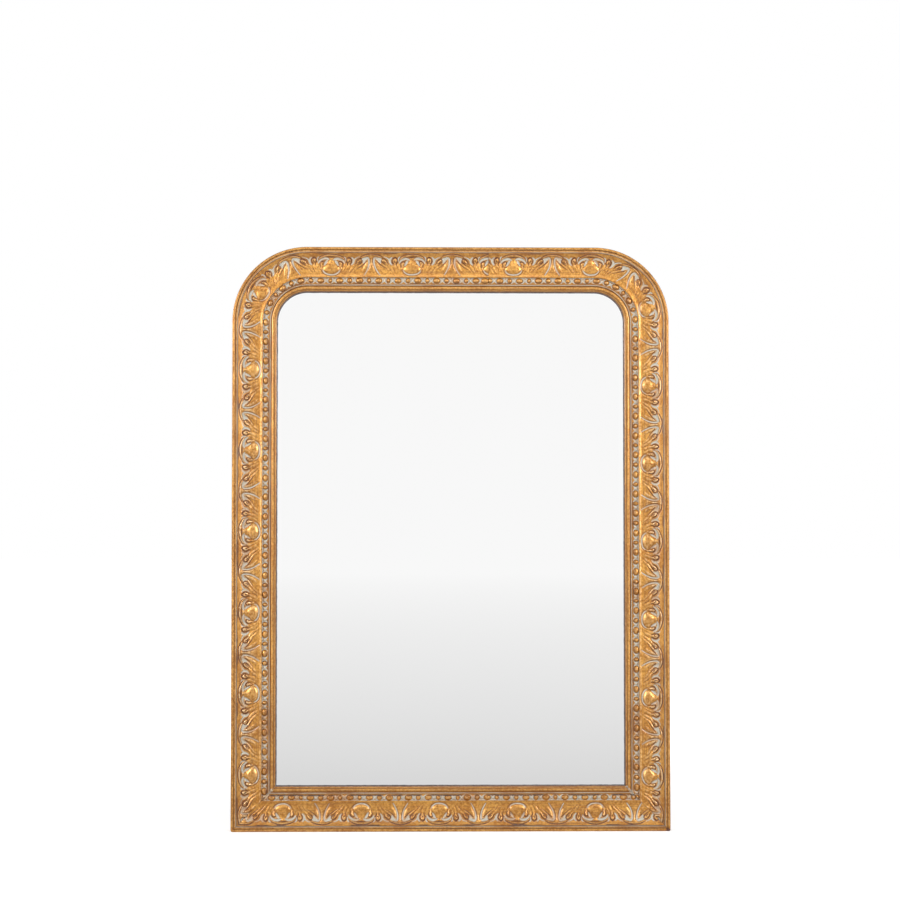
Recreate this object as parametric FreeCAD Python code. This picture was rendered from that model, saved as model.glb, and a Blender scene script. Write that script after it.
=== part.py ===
import FreeCAD
import Part
import math
import os

# Arched wall mirror in a gilded moulding. The front faces -Y, +Z is up and the wall is the plane y = 0.
# Inward distances run from the frame's outer edge towards the glass.
# Heights run from the back of the frame towards the viewer.

# Overall size in the front view
frame_width = 762.0
frame_height = 1016.0
corner_radius = 130.0
seam_offset = 66.0

# Members of the moulding, in order from the outer edge to the glass
outer_bead_width = 4.2
groove_width = 0.8
fillet_width = 4.5
frieze_width = 42.2
bead_channel_width = 12.2
ridge_width = 1.8
sight_groove_width = 0.5
sight_roll_width = 11.0

# Heights of those members above the back of the frame
outer_bead_spring = 39.1
outer_bead_rise = 0.9
groove_floor_height = 36.4
fillet_height = 38.4
hollow_height = 29.5
roll_foot_height = 29.5
roll_top_height = 31.5
roll_end_height = 29.0
channel_floor_height = 24.0
ridge_height = 27.0
sight_roll_start_height = 25.0
sight_roll_top_height = 26.2
sight_edge_height = 19.5

# Turning points across the frieze, and the top of the sight roll
hollow_start_share = 0.42
roll_foot_share = 0.8
roll_top_share = 0.9
sight_top_share = 0.4

# Glass, and what is stacked round and behind it in the rebate
rebate_width = 10.0
felt_thickness = 1.0
felt_setback = 1.0
glass_thickness = 4.0
glass_clearance = 2.0
cushion_thickness = 2.7
board_thickness = 6.0
board_clearance = 1.0
pad_length = 60.0
pad_place_share = 0.25

# Loose tenons in the joints of the wooden lengths
tenon_length = 36.0
tenon_width = 30.0
tenon_thickness = 8.0
tenon_inward = 34.0
tenon_height = 14.0
tenon_clearance = 0.2

# Pressed ornament strip in the frieze
strip_thickness = 1.2
relief_thickness = 2.4
left_repeat = 140.8
right_repeat = 136.0
bottom_repeat = 135.5
left_start = 97.4
right_start = 94.2
bottom_start = 90.0

# Bead and reel strip in the channel beside the glass
bead_repeat = 34.0
large_bead_width = 8.8
large_bead_height = 6.4
small_bead_width = 6.0
small_bead_height = 4.6
reel_width = 3.6
reel_height = 2.4
large_bead_share = 0.58
bead_crown_share = 0.56

# Turn buttons that keep the backing board in
button_setback = 11.0
button_length = 19.0
button_pivot_radius = 6.5
button_tip_radius = 5.0
button_thickness = 1.5
button_gap = 0.1
side_button_share = 0.25
pivot_clearance = 0.1

# Wood screws
screw_radius = 1.75
screw_length = 14.0
screw_head_radius = 3.4
screw_head_height = 1.6
pilot_clearance = 0.05

# Hangers: a steel strap rolled into an eye, and a D ring that swings in it
hanger_drop = 300.0
hanger_inward = 34.0
strap_width = 16.0
strap_length = 46.0
strap_thickness = 1.5
strap_corner = 5.0
strap_screw_setback = 12.0
strap_screw_spacing = 20.0
ring_bar = 3.0
ring_side_gap = 1.0
ring_leg_length = 11.0
ring_clearance = 0.15
ring_rest_gap = 0.3

# Rubber bumpers between the frame and the wall
bumper_height = 8.0
bumper_base_radius = 7.0
bumper_face_radius = 6.0
bumper_inward = 34.0

# One overrun for every cut that passes right through, and the number of flats on small round pieces
overrun = 5.0
round_flats = 8

# Places across the moulding
fillet_start = outer_bead_width + groove_width
fillet_end = fillet_start + fillet_width
frieze_start = fillet_end + groove_width
frieze_end = frieze_start + frieze_width
channel_end = frieze_end + bead_channel_width
ridge_end = channel_end + ridge_width
sight_roll_start = ridge_end + sight_groove_width
moulding_width = sight_roll_start + sight_roll_width
rebate_start = moulding_width - rebate_width
frieze_line = frieze_start + frieze_width / 2
bead_line = frieze_end + bead_channel_width / 2

# Heights of the faces in the rebate, from the board's front to the lip that the glass lies against
board_front = board_thickness + button_gap
cushion_front = board_front + cushion_thickness
glass_front = cushion_front + glass_thickness
rebate_depth = glass_front + felt_thickness

# Places in the front view
half_width = frame_width / 2
half_height = frame_height / 2
stile_length = frame_height - corner_radius
corner_x = corner_radius - half_width
corner_z = half_height - corner_radius
back = -bumper_height
moulding_depth = outer_bead_spring + outer_bead_rise


def vector(x, y, z):
    return FreeCAD.Vector(x, y, z)


def outline_face(points):
    return Part.Face(Part.makePolygon(points + points[:1]))


def mirrored(shape):
    """The same piece on the other side of the mirror's middle line."""
    return shape.mirror(vector(0, 0, 0), vector(1, 0, 0))


def round_outline(radius):
    """A small circle as a polygon with its corners on the circle and two of its flats level."""
    step = 2 * math.pi / round_flats
    turns = [(number + 0.5) * step for number in range(round_flats)]
    return [(radius * math.sin(turn), radius * math.cos(turn)) for turn in turns]


def clear_radius(radius):
    """Radius of such a polygon that just leaves room for a circle of that radius."""
    return radius / math.cos(math.pi / round_flats)


def round_block(radius, foot, length):
    """A small round bar along Y, from a place on its axis."""
    points = [foot + vector(x, 0, z) for x, z in round_outline(radius)]
    return outline_face(points).extrude(vector(0, length, 0))


def export(name, shape):
    shape.exportStep("parts/" + name + ".step")


# Sections of the moulding


def section(outline):
    """Face of a moulding's section, with x inward and y against the height."""
    return outline_face([vector(inward, -height, 0) for inward, height in outline])


def rounded(start, middle, end):
    """Points of an arc through three places of a section, as a few flats."""
    arc = Part.Arc(*[vector(inward, height, 0) for inward, height in (start, middle, end)])
    return [(point.x, point.y) for point in arc.discretize(round_flats // 4 + 1)]


def across(share):
    """Inward place of a share of the frieze's width."""
    return frieze_start + share * frieze_width


def frieze_bed(lift):
    """Points of the frieze from its outer edge to the bead channel: a slope, a hollow and a roll."""
    return [
        (frieze_start, groove_floor_height + lift),
        (across(hollow_start_share), hollow_height + lift),
        (across(roll_foot_share), roll_foot_height + lift),
        (across(roll_top_share), roll_top_height + lift),
        (frieze_end, roll_end_height + lift),
    ]


def moulding_section():
    """The wooden moulding, with the rebate for the glass cut out of its inner back corner."""
    outer_bead = rounded(
        (0, outer_bead_spring),
        (outer_bead_width / 2, outer_bead_spring + outer_bead_rise),
        (outer_bead_width, outer_bead_spring),
    )
    fillet = [
        (outer_bead_width, groove_floor_height),
        (fillet_start, groove_floor_height),
        (fillet_start, fillet_height),
        (fillet_end, fillet_height),
        (fillet_end, groove_floor_height),
    ]
    channel = [
        (frieze_end, channel_floor_height),
        (channel_end, channel_floor_height),
        (channel_end, ridge_height),
        (ridge_end, ridge_height),
        (ridge_end, sight_roll_start_height),
    ]
    sight_roll = rounded(
        (sight_roll_start, sight_roll_start_height),
        (sight_roll_start + sight_top_share * sight_roll_width, sight_roll_top_height),
        (moulding_width, sight_edge_height),
    )
    rebate = [
        (moulding_width, rebate_depth),
        (rebate_start, rebate_depth),
        (rebate_start, 0),
    ]
    return section([(0, 0)] + outer_bead + fillet + frieze_bed(0) + channel + sight_roll + rebate)


def frieze_section(low, high):
    """A layer of the frieze between two heights above its wooden bed."""
    return section(frieze_bed(low) + frieze_bed(high)[::-1])


# Runs: a section carried along the four sides and round the two top corners


def mitre_wedge():
    """The space under the mitre line of the left bottom corner, which belongs to the bottom rail."""
    reach = frame_width + frame_height
    wedge = outline_face(
        [
            vector(-half_width - overrun, 0, -half_height - overrun),
            vector(-half_width + reach, 0, -half_height - overrun),
            vector(-half_width + reach, 0, -half_height + reach),
        ]
    )
    return wedge.extrude(vector(0, back - moulding_depth - overrun, 0))


def stile_run(face):
    """A section carried up the left side, mitred at the bottom corner."""
    run = face.extrude(vector(0, 0, stile_length))
    run.translate(vector(-half_width, back, -half_height))
    return run.cut(mitre_wedge())


def arch_run(face, seam):
    """A section carried round the left top corner and along the top to the seam."""
    bend = face.revolve(vector(corner_radius, 0, 0), vector(0, 1, 0), 90)
    bend.translate(vector(-half_width, back, corner_z))
    turned = face.copy()
    turned.rotate(vector(0, 0, 0), vector(0, 1, 0), 90)
    top = turned.extrude(vector(seam - corner_x, 0, 0))
    top.translate(vector(corner_x, back, half_height))
    return bend.fuse(top).removeSplitter()


def bottom_run(face):
    """A section carried along the bottom, mitred at both ends."""
    turned = face.copy()
    turned.rotate(vector(0, 0, 0), vector(0, 1, 0), -90)
    run = turned.extrude(vector(-frame_width, 0, 0))
    run.translate(vector(half_width, back, -half_height))
    return run.common(mitre_wedge()).common(mirrored(mitre_wedge()))


def side_place(along, inward, line):
    """Front-view place on the left run: up the stile, round the corner and along the top.

    The length along the run is measured on the line at that inward distance.
    """
    if along <= stile_length:
        return (inward - half_width, along - half_height)
    line_radius = corner_radius - line
    turned = (along - stile_length) / line_radius
    if turned <= math.pi / 2:
        reach = corner_radius - inward
        return (corner_x - reach * math.cos(turned), corner_z + reach * math.sin(turned))
    past = (turned - math.pi / 2) * line_radius
    return (corner_x + past, half_height - inward)


def bottom_place(along, inward, line):
    """Front-view place on the bottom run, counted from its left end."""
    return (along - half_width, inward - half_height)


def side_length(line, seam):
    """Length of the left run, from the bottom edge to the seam in the top, on the line at that inward distance."""
    return stile_length + (corner_radius - line) * math.pi / 2 + seam - corner_x


# Screws, and the places of the hardware that they hold


def screw(x, z, seat):
    """A wood screw driven in from behind, its head on a face that lies at that distance behind the frame."""
    under_head = vector(x, back + seat, z)
    shank = round_block(screw_radius, under_head, -screw_length)
    head = round_block(screw_head_radius, under_head, screw_head_height)
    return shank.fuse(head)


def pilot_hole(x, z, seat):
    """The hole that a screw with that seat needs in the wood and in the piece that it holds."""
    return round_block(screw_radius + pilot_clearance, vector(x, back + seat, z), -screw_length - pilot_clearance)


def button_places():
    """Pivot and turn of each turn button: two on each stile, one in the middle of the top and of the bottom."""
    inward = rebate_start - button_setback
    side = half_width - inward
    rise = side_button_share * frame_height
    return {
        "left_upper": (-side, rise, 0),
        "left_lower": (-side, -rise, 0),
        "right_upper": (side, rise, 180),
        "right_lower": (side, -rise, 180),
        "top": (0, half_height - inward, 90),
        "bottom": (0, inward - half_height, -90),
    }


def strap_screw_places(side):
    """Screws of the hanger on the left (-1) or right (1) stile."""
    x = side * (half_width - hanger_inward)
    first = half_height - hanger_drop - strap_screw_setback
    return [(x, first), (x, first - strap_screw_spacing)]


button_seat = button_thickness + 2 * button_gap


# Wooden lengths, their loose tenons and the pockets for them


def tenon(x, z, turn, clearance):
    """A tenon across a joint at that place in the front view, turned about Y from a joint that is level."""
    width = tenon_width + 2 * clearance
    thickness = tenon_thickness + 2 * clearance
    length = tenon_length + 2 * clearance
    block = Part.makeBox(width, thickness, length, vector(-width / 2, -thickness / 2, -length / 2))
    block.rotate(vector(0, 0, 0), vector(0, 1, 0), turn)
    block.translate(vector(x, back - tenon_height, z))
    return block


def tenon_places():
    """The joints: a mitre and a level joint at the two ends of each stile, and the seam in the top."""
    left = [
        (tenon_inward - half_width, tenon_inward - half_height, -45),
        (tenon_inward - half_width, corner_z, 0),
    ]
    right = [(-x, z, -turn) for x, z, turn in left]
    return left + right + [(seam_offset, half_height - tenon_inward, 90)]


def build_wood():
    """Two stiles, two arches that each hold a corner and their part of the top, and the bottom rail."""
    face = moulding_section()
    lengths = {
        "left_stile": stile_run(face),
        "left_arch": arch_run(face, seam_offset),
        "right_arch": mirrored(arch_run(face, -seam_offset)),
        "right_stile": mirrored(stile_run(face)),
        "bottom_rail": bottom_run(face),
    }
    cuts = [tenon(x, z, turn, tenon_clearance) for x, z, turn in tenon_places()]
    cuts += [pilot_hole(x, z, button_seat) for x, z, turn in button_places().values()]
    for side in (-1, 1):
        cuts += [pilot_hole(x, z, strap_thickness) for x, z in strap_screw_places(side)]
    for name, length in lengths.items():
        export(name, length.cut(cuts))
    tenons = [tenon(x, z, turn, 0) for x, z, turn in tenon_places()]
    export("loose_tenons", Part.makeCompound(tenons))


# Ornament strip of the frieze: cartouches at a steady repeat, with a palmette between each two
# Outline points are shares of the repeat along the run, from the motif's middle, and of the frieze's width.


def reflected(shares):
    return [(-along, inward) for along, inward in reversed(shares)]


egg_half_shares = [(0.05, 0.33), (0.088, 0.56), (0.082, 0.72), (0.045, 0.84)]
rim_outer_shares = [(0.125, 0.44), (0.131, 0.59), (0.106, 0.845), (0.03, 0.93)]
rim_inner_shares = [(0.025, 0.885), (0.095, 0.815), (0.113, 0.59), (0.110, 0.44)]
volute_shares = [(0.141, 0.43), (0.1675, 0.43), (0.1625, 0.560), (0.140, 0.519)]
rosette_shares = [(0.2125, 0.189), (0.2475, 0.300), (0.2125, 0.41), (0.1775, 0.300)]
near_leaf_shares = [(0.275, 0.486), (0.244, 0.70), (0.195, 0.79), (0.2125, 0.651)]
far_leaf_shares = [(0.3625, 0.436), (0.329, 0.65), (0.2725, 0.78), (0.296, 0.601)]
palmette_half_shares = [(0.0225, 0.189), (0.04, 0.498), (0.08, 0.79)]
egg_shares = egg_half_shares + reflected(egg_half_shares)
rim_shares = rim_outer_shares + reflected(rim_outer_shares) + reflected(rim_inner_shares)[::-1] + rim_inner_shares
palmette_shares = palmette_half_shares + reflected(palmette_half_shares)


def motif_outlines(start, repeat, length):
    """Middle and outline of every motif that lies whole on a run."""
    paired = [volute_shares, rosette_shares, near_leaf_shares, far_leaf_shares]
    single = [egg_shares, rim_shares] + paired + [reflected(shares) for shares in paired]
    outlines = []
    middle = start - repeat
    while middle < length:
        outlines += [(middle, shares) for shares in single]
        outlines.append((middle + repeat / 2, palmette_shares))
        middle += repeat
    return outlines


def motif_blocks(place, start, repeat, length):
    """Upright blocks over the outlines of the motifs along a run."""
    blocks = []
    for middle, shares in motif_outlines(start, repeat, length):
        alongs = [middle + along * repeat for along, inward in shares]
        if min(alongs) < frieze_start or max(alongs) > length:
            continue
        points = []
        for along, (share, inward) in zip(alongs, shares):
            x, z = place(along, across(inward), frieze_line)
            points.append(vector(x, back, z))
        blocks.append(outline_face(points).extrude(vector(0, -moulding_depth, 0)))
    return blocks


def frieze_strip(runs, blocks):
    """The pressed strip: a thin ground on the wooden bed, with the motifs standing out of it."""
    pieces = []
    for run in runs:
        pieces.append(run(frieze_section(0, strip_thickness)))
        relief = run(frieze_section(strip_thickness / 2, strip_thickness + relief_thickness))
        pieces.append(relief.common(Part.makeCompound(blocks)))
    return pieces[0].fuse(pieces[1:]).removeSplitter()


def side_frieze(seam, start, repeat):
    """The strip of the left side, from the bottom mitre to the seam in the top."""
    blocks = motif_blocks(side_place, start, repeat, side_length(frieze_line, seam))
    return frieze_strip([stile_run, lambda face: arch_run(face, seam)], blocks)


def build_friezes():
    export("left_frieze", side_frieze(seam_offset, left_start, left_repeat))
    export("right_frieze", mirrored(side_frieze(-seam_offset, right_start, right_repeat)))
    bottom_blocks = motif_blocks(bottom_place, bottom_start, bottom_repeat, frame_width - frieze_start)
    export("bottom_frieze", frieze_strip([bottom_run], bottom_blocks))


# Bead and reel strips: large and small beads in turn, drawn in to a thin reel between each two


def bead_section(place, along, width, height):
    """Corners of the strip's cross-section, standing on the floor of its channel."""
    outline = [(-width / 2, 0), (-width * bead_crown_share / 2, height)]
    outline += [(-sideways, level) for sideways, level in reversed(outline)]
    corners = []
    for sideways, level in outline:
        x, z = place(along, bead_line + sideways, bead_line)
        corners.append(vector(x, back - channel_floor_height - level, z))
    return corners


def bead_walls(first, second):
    """Flat faces between two cross-sections, a wall that twists round a corner as two triangles."""
    walls = []
    for here in range(len(first)):
        after = (here + 1) % len(first)
        a, b, c, d = first[here], first[after], second[after], second[here]
        if abs((b - a).cross(d - a).dot(c - a)) < Part.Precision.confusion():
            walls.append(outline_face([a, b, c, d]))
        else:
            walls += [outline_face([a, b, c]), outline_face([a, c, d])]
    return walls


def bead_strip(place, start, end):
    """One unbroken strip between two places on a run, with whole repeats only."""
    count = max(1, round((end - start) / bead_repeat))
    repeat = (end - start) / count
    large = large_bead_share * repeat
    reel = (reel_width, reel_height)
    sections = [bead_section(place, start, *reel)]
    for number in range(count):
        first = start + number * repeat
        small_middle = first + (large + repeat) / 2
        sections.append(bead_section(place, first + large / 2, large_bead_width, large_bead_height))
        sections.append(bead_section(place, first + large, *reel))
        sections.append(bead_section(place, small_middle, small_bead_width, small_bead_height))
        sections.append(bead_section(place, first + repeat, *reel))
    faces = [outline_face(sections[0]), outline_face(sections[-1])]
    for first, second in zip(sections, sections[1:]):
        faces += bead_walls(first, second)
    strip = Part.Solid(Part.Shell(faces))
    if strip.Volume < 0:
        strip.reverse()
    return strip


def build_bead_strips():
    mitre = bead_line + bead_channel_width / 2
    export("left_bead_strip", bead_strip(side_place, mitre, side_length(bead_line, seam_offset)))
    export("right_bead_strip", mirrored(bead_strip(side_place, mitre, side_length(bead_line, -seam_offset))))
    export("bottom_bead_strip", bead_strip(bottom_place, mitre, frame_width - mitre))


# Glass and the sheets behind it


def arched_sheet(inset, low, high):
    """A sheet with the mirror's arched outline, inset from the frame's outer edge, between two heights."""
    side = half_width - inset
    head = half_height - inset
    slant = (corner_radius - inset) * math.sqrt(0.5)
    level = back - low
    foot_left = vector(-side, level, -head)
    spring_left = vector(-side, level, corner_z)
    bend_left = vector(corner_x - slant, level, corner_z + slant)
    head_left = vector(corner_x, level, head)
    head_right = vector(-corner_x, level, head)
    bend_right = vector(slant - corner_x, level, corner_z + slant)
    spring_right = vector(side, level, corner_z)
    foot_right = vector(side, level, -head)
    edges = [
        Part.LineSegment(foot_left, spring_left).toShape(),
        Part.Arc(spring_left, bend_left, head_left).toShape(),
        Part.LineSegment(head_left, head_right).toShape(),
        Part.Arc(head_right, bend_right, spring_right).toShape(),
        Part.LineSegment(spring_right, foot_right).toShape(),
        Part.LineSegment(foot_right, foot_left).toShape(),
    ]
    return Part.Face(Part.Wire(edges)).extrude(vector(0, low - high, 0))


def build_glass():
    glass_inset = rebate_start + glass_clearance
    board_inset = rebate_start + board_clearance
    felt = arched_sheet(glass_inset, glass_front, rebate_depth)
    felt_hole = arched_sheet(moulding_width - felt_setback, glass_front - overrun, rebate_depth + overrun)
    export("rebate_felt", felt.cut(felt_hole))
    export("mirror_glass", arched_sheet(glass_inset, cushion_front, glass_front))
    export("cushion_sheet", arched_sheet(glass_inset, board_front, cushion_front))
    export("backing_board", arched_sheet(board_inset, button_gap, board_front))
    pads = []
    for side in (-1, 1):
        x = side * pad_place_share * frame_width - pad_length / 2
        corner = vector(x, back - glass_front, rebate_start - half_height)
        pads.append(Part.makeBox(pad_length, glass_thickness, glass_clearance, corner))
    export("glass_pads", Part.makeCompound(pads))


# Turn buttons: flat steel drops on a screw, turned in over the edge of the backing board


def turn_button(x, z, turn):
    lean = math.asin((button_pivot_radius - button_tip_radius) / button_length)
    steps = round_flats // 2
    sweep = math.pi + 2 * lean
    points = []
    for number in range(steps + 1):
        angle = math.pi / 2 - lean + number * sweep / steps
        points.append(vector(math.cos(angle), 0, math.sin(angle)) * button_pivot_radius)
    sweep = math.pi - 2 * lean
    for number in range(steps + 1):
        angle = lean - math.pi / 2 + number * sweep / steps
        tip = vector(math.cos(angle), 0, math.sin(angle)) * button_tip_radius
        points.append(tip + vector(button_length, 0, 0))
    plate = outline_face(points).extrude(vector(0, button_thickness, 0))
    bore = Part.makeCylinder(screw_radius + pivot_clearance, button_thickness, vector(0, 0, 0), vector(0, 1, 0))
    plate = plate.cut(bore)
    plate.rotate(vector(0, 0, 0), vector(0, 1, 0), turn)
    plate.translate(vector(x, back + button_gap, z))
    return plate


def build_buttons():
    screws = []
    for name, (x, z, turn) in button_places().items():
        export("turn_button_" + name, turn_button(x, z, turn))
        screws.append(screw(x, z, button_seat))
    export("turn_button_screws", Part.makeCompound(screws))


# Hangers: the strap lies flat on the back of the stile, and its rolled upper end carries the ring's bar


ring_bore_radius = ring_bar * math.sqrt(0.5) + ring_clearance
eye_radius = ring_bore_radius + strap_thickness
ring_inner_half = strap_width / 2 + ring_side_gap
ring_outer_half = ring_inner_half + ring_bar
ring_reach = ring_leg_length + ring_outer_half


def hanger_strap(side):
    """A flat strap, and a many-sided eye with one flat towards the frame and a round bore."""
    x = side * (half_width - hanger_inward)
    z = half_height - hanger_drop
    half = strap_width / 2
    eye_end = vector(x - half, back + eye_radius, z)
    eye_points = [eye_end + vector(0, y, rise) for rise, y in round_outline(clear_radius(eye_radius))]
    eye = outline_face(eye_points).extrude(vector(strap_width, 0, 0))
    bore = Part.makeCylinder(ring_bore_radius, strap_width, eye_end, vector(1, 0, 0))
    foot = z + half - strap_length
    plate = outline_face(
        [
            vector(x - half, back, z),
            vector(x - half, back, foot + strap_corner),
            vector(x - half + strap_corner, back, foot),
            vector(x + half - strap_corner, back, foot),
            vector(x + half, back, foot + strap_corner),
            vector(x + half, back, z),
        ]
    ).extrude(vector(0, strap_thickness, 0))
    holes = [pilot_hole(hole_x, hole_z, strap_thickness) for hole_x, hole_z in strap_screw_places(side)]
    return plate.fuse(eye).cut([bore] + holes).removeSplitter()


def ring_outline(half, foot):
    """D outline: a straight foot, two legs and a round head."""
    points = [(-half, foot), (half, foot)]
    for number in range(round_flats + 1):
        turn = math.pi * number / round_flats
        points.append((half * math.cos(turn), ring_leg_length + half * math.sin(turn)))
    return outline_face([vector(x, -ring_bar / 2, z) for x, z in points])


def hanger_ring(side):
    """D ring of square bar: its foot lies in the eye and it leans up against the back of the frame."""
    thickness = vector(0, ring_bar, 0)
    ring = ring_outline(ring_outer_half, -ring_bar / 2).extrude(thickness)
    ring = ring.cut(ring_outline(ring_inner_half, ring_bar / 2).extrude(thickness))
    lean = math.asin((eye_radius - ring_bar / 2 - ring_rest_gap) / ring_reach)
    ring.rotate(vector(0, 0, 0), vector(1, 0, 0), math.degrees(lean))
    ring.translate(vector(side * (half_width - hanger_inward), back + eye_radius, half_height - hanger_drop))
    return ring


def build_hangers():
    screws = []
    for name, side in (("left", -1), ("right", 1)):
        export(name + "_hanger_strap", hanger_strap(side))
        export(name + "_hanger_ring", hanger_ring(side))
        screws += [screw(x, z, strap_thickness) for x, z in strap_screw_places(side)]
    export("hanger_screws", Part.makeCompound(screws))


# Bumpers: two in the bottom corners and two in the middle of the arched corners


def bumper(x, z):
    base = [vector(x + dx, back, z + dz) for dx, dz in round_outline(bumper_base_radius)]
    face = [vector(x + dx, 0, z + dz) for dx, dz in round_outline(bumper_face_radius)]
    faces = [outline_face(base), outline_face(face)]
    for here in range(round_flats):
        after = (here + 1) % round_flats
        faces.append(outline_face([base[here], base[after], face[after], face[here]]))
    block = Part.Solid(Part.Shell(faces))
    if block.Volume < 0:
        block.reverse()
    return block


def build_bumpers():
    reach = (corner_radius - bumper_inward) * math.sqrt(0.5)
    left = [
        (bumper_inward - half_width, bumper_inward - half_height),
        (corner_x - reach, corner_z + reach),
    ]
    right = [(-x, z) for x, z in left]
    export("wall_bumpers", Part.makeCompound([bumper(x, z) for x, z in left + right]))


os.makedirs("parts", exist_ok=True)
build_wood()
build_friezes()
build_bead_strips()
build_glass()
build_buttons()
build_hangers()
build_bumpers()
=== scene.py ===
import math

import bmesh
import bpy
import numpy as np
from bmesh.types import BMEdge, BMFace, BMVert
from mathutils import Matrix, Vector


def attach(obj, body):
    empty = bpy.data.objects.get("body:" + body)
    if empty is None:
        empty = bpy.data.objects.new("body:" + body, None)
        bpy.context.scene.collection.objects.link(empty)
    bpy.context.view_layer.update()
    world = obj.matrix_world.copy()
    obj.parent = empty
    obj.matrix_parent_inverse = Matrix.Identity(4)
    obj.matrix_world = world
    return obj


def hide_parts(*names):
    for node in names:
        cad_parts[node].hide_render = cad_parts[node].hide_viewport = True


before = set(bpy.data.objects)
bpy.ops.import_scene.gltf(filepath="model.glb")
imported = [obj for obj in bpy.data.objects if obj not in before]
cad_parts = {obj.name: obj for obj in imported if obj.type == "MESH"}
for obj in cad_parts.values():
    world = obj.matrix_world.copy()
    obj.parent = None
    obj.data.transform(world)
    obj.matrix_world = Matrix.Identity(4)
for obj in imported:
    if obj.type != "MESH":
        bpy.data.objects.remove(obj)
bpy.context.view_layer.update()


# Wooden lengths of the moulding: two stiles, two arches that hold a corner and part of the top, a bottom rail.
# Wood run past a cutter, glued at the mitres and butt joints, coated with gesso and red bole and leafed on the
# front and the sides. The back and the rebate for the glass stay bare.
mm = 0.001
half_width = 381 * mm
half_height = 508 * mm
corner_radius = 130 * mm
stile_length = 886 * mm
corner_x = corner_radius - half_width
corner_z = half_height - corner_radius
seam_x = 66 * mm
back = -8 * mm
lip_back = back - 14 * mm
rebate_start = 60 * mm
frieze_line = 31.4 * mm


def curve(start, middle, end, steps):
    """Points of a rounded member of the section: a smooth bow through three places, in mm."""
    shares = [step / steps for step in range(steps + 1)]
    middle = [2 * m - (s + e) / 2 for s, m, e in zip(start, middle, end)]
    return [
        tuple((1 - t) ** 2 * s + 2 * t * (1 - t) * m + t * t * e for s, m, e in zip(start, middle, end))
        for t in shares
    ]


moulding_outline = (
    [(0.0, 0.0), (0.0, 36.5)]
    + curve((0.0, 38.2), (0.6, 39.6), (2.2, 40.0), 5)
    + curve((2.6, 40.0), (4.2, 39.6), (4.8, 38.3), 5)
    + [(4.9, 36.7), (5.6, 36.6)]
    + curve((5.7, 37.9), (5.8, 38.3), (6.2, 38.4), 3)
    + curve((8.8, 38.4), (9.3, 38.3), (9.5, 37.8), 3)
    + [(9.6, 36.6), (10.3, 36.4), (28.0, 29.2), (44.0, 28.8), (48.3, 29.4), (51.2, 30.9), (52.5, 30.0)]
    + [(52.6, 24.0), (64.6, 24.0)]
    + curve((64.7, 26.0), (64.9, 26.9), (65.5, 27.0), 4)
    + curve((65.7, 27.0), (66.3, 26.8), (66.5, 26.0), 4)
    + [(66.6, 24.9)]
    + curve((67.0, 24.9), (69.8, 26.3), (72.5, 25.8), 7)
    + [(72.8, 24.9), (73.3, 24.7)]
    + curve((73.6, 25.2), (75.8, 23.8), (77.0, 20.0), 9)
    + [(77.0, 13.8), (68.0, 13.8), (68.0, 0.0)]
)


def only(kind, geometry):
    """The vertices, edges or faces among what a mesh operation gives back."""
    return [part for part in geometry if isinstance(part, kind)]


def new_section(bm, turn):
    """The moulding's section, turned about the outer edge: 0 across a stile, 1 across the top or bottom."""
    corners = [bm.verts.new((inward * mm, -height * mm, 0)) for inward, height in moulding_outline]
    bmesh.ops.rotate(bm, verts=corners, cent=(0, 0, 0), matrix=Matrix.Rotation(turn * math.pi / 2, 3, "Y"))
    return [bm.faces.new(corners)]


def drawn_out(bm, faces, path):
    """Draws faces out straight along a path."""
    drawn = bmesh.ops.extrude_face_region(bm, geom=faces)["geom"]
    bmesh.ops.translate(bm, verts=only(BMVert, drawn), vec=path)


def mitred(bm, corner, normal):
    """Cuts an end off along a mitre and closes it."""
    everything = bm.verts[:] + bm.edges[:] + bm.faces[:]
    cut = bmesh.ops.bisect_plane(bm, geom=everything, plane_co=corner, plane_no=normal, clear_outer=True)
    bmesh.ops.edgeloop_fill(bm, edges=only(BMEdge, cut["geom_cut"]))


def rubbed_corner(bm, side):
    """Rounds a bottom corner off by flat cuts, as years of handling have done."""
    worn = 4 * mm
    middle = Vector((side * (half_width - worn), 0, worn - half_height))
    for step in range(1, 6):
        angle = step * math.pi / 12
        outward = Vector((side * math.cos(angle), 0, -math.sin(angle)))
        mitred(bm, middle + outward * worn, outward)


def bend_length(line):
    """How far it is round an arched corner, on a line that far inward."""
    return (corner_radius - line) * math.pi / 2


def run_places(points, run):
    """Each point's distance along its run, inward from the outer edge and forward of the frame's back."""
    x, y, z = points.T
    if run == "bottom":
        along, inward = x + half_width, z + half_height
    else:
        x = x if run == "left" else -x
        turned = np.arctan2(z - corner_z, corner_x - x)
        reach = np.hypot(z - corner_z, corner_x - x)
        on_stile = z <= corner_z
        on_top = (x >= corner_x) & ~on_stile
        inward = np.where(on_stile, x + half_width, np.where(on_top, half_height - z, corner_radius - reach))
        bent = stile_length + turned * (corner_radius - frieze_line)
        past = stile_length + bend_length(frieze_line) + x - corner_x
        along = np.where(on_stile, z + half_height, np.where(on_top, past, bent))
    return np.stack([along, inward, back - y], axis=1)


def mesh_points(mesh):
    points = np.empty(len(mesh.vertices) * 3)
    mesh.vertices.foreach_get("co", points)
    return points.reshape(-1, 3)


def write_run(mesh, places):
    """Writes places of a run on a mesh, so that streaks and lines of the finish follow the moulding."""
    mesh.attributes.new("run", "FLOAT_VECTOR", "POINT").data.foreach_set("vector", places.ravel())


def in_scene(name, data):
    """An object of that mesh, lamp or camera, in the scene."""
    thing = bpy.data.objects.new(name, data)
    bpy.context.scene.collection.objects.link(thing)
    return thing


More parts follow.
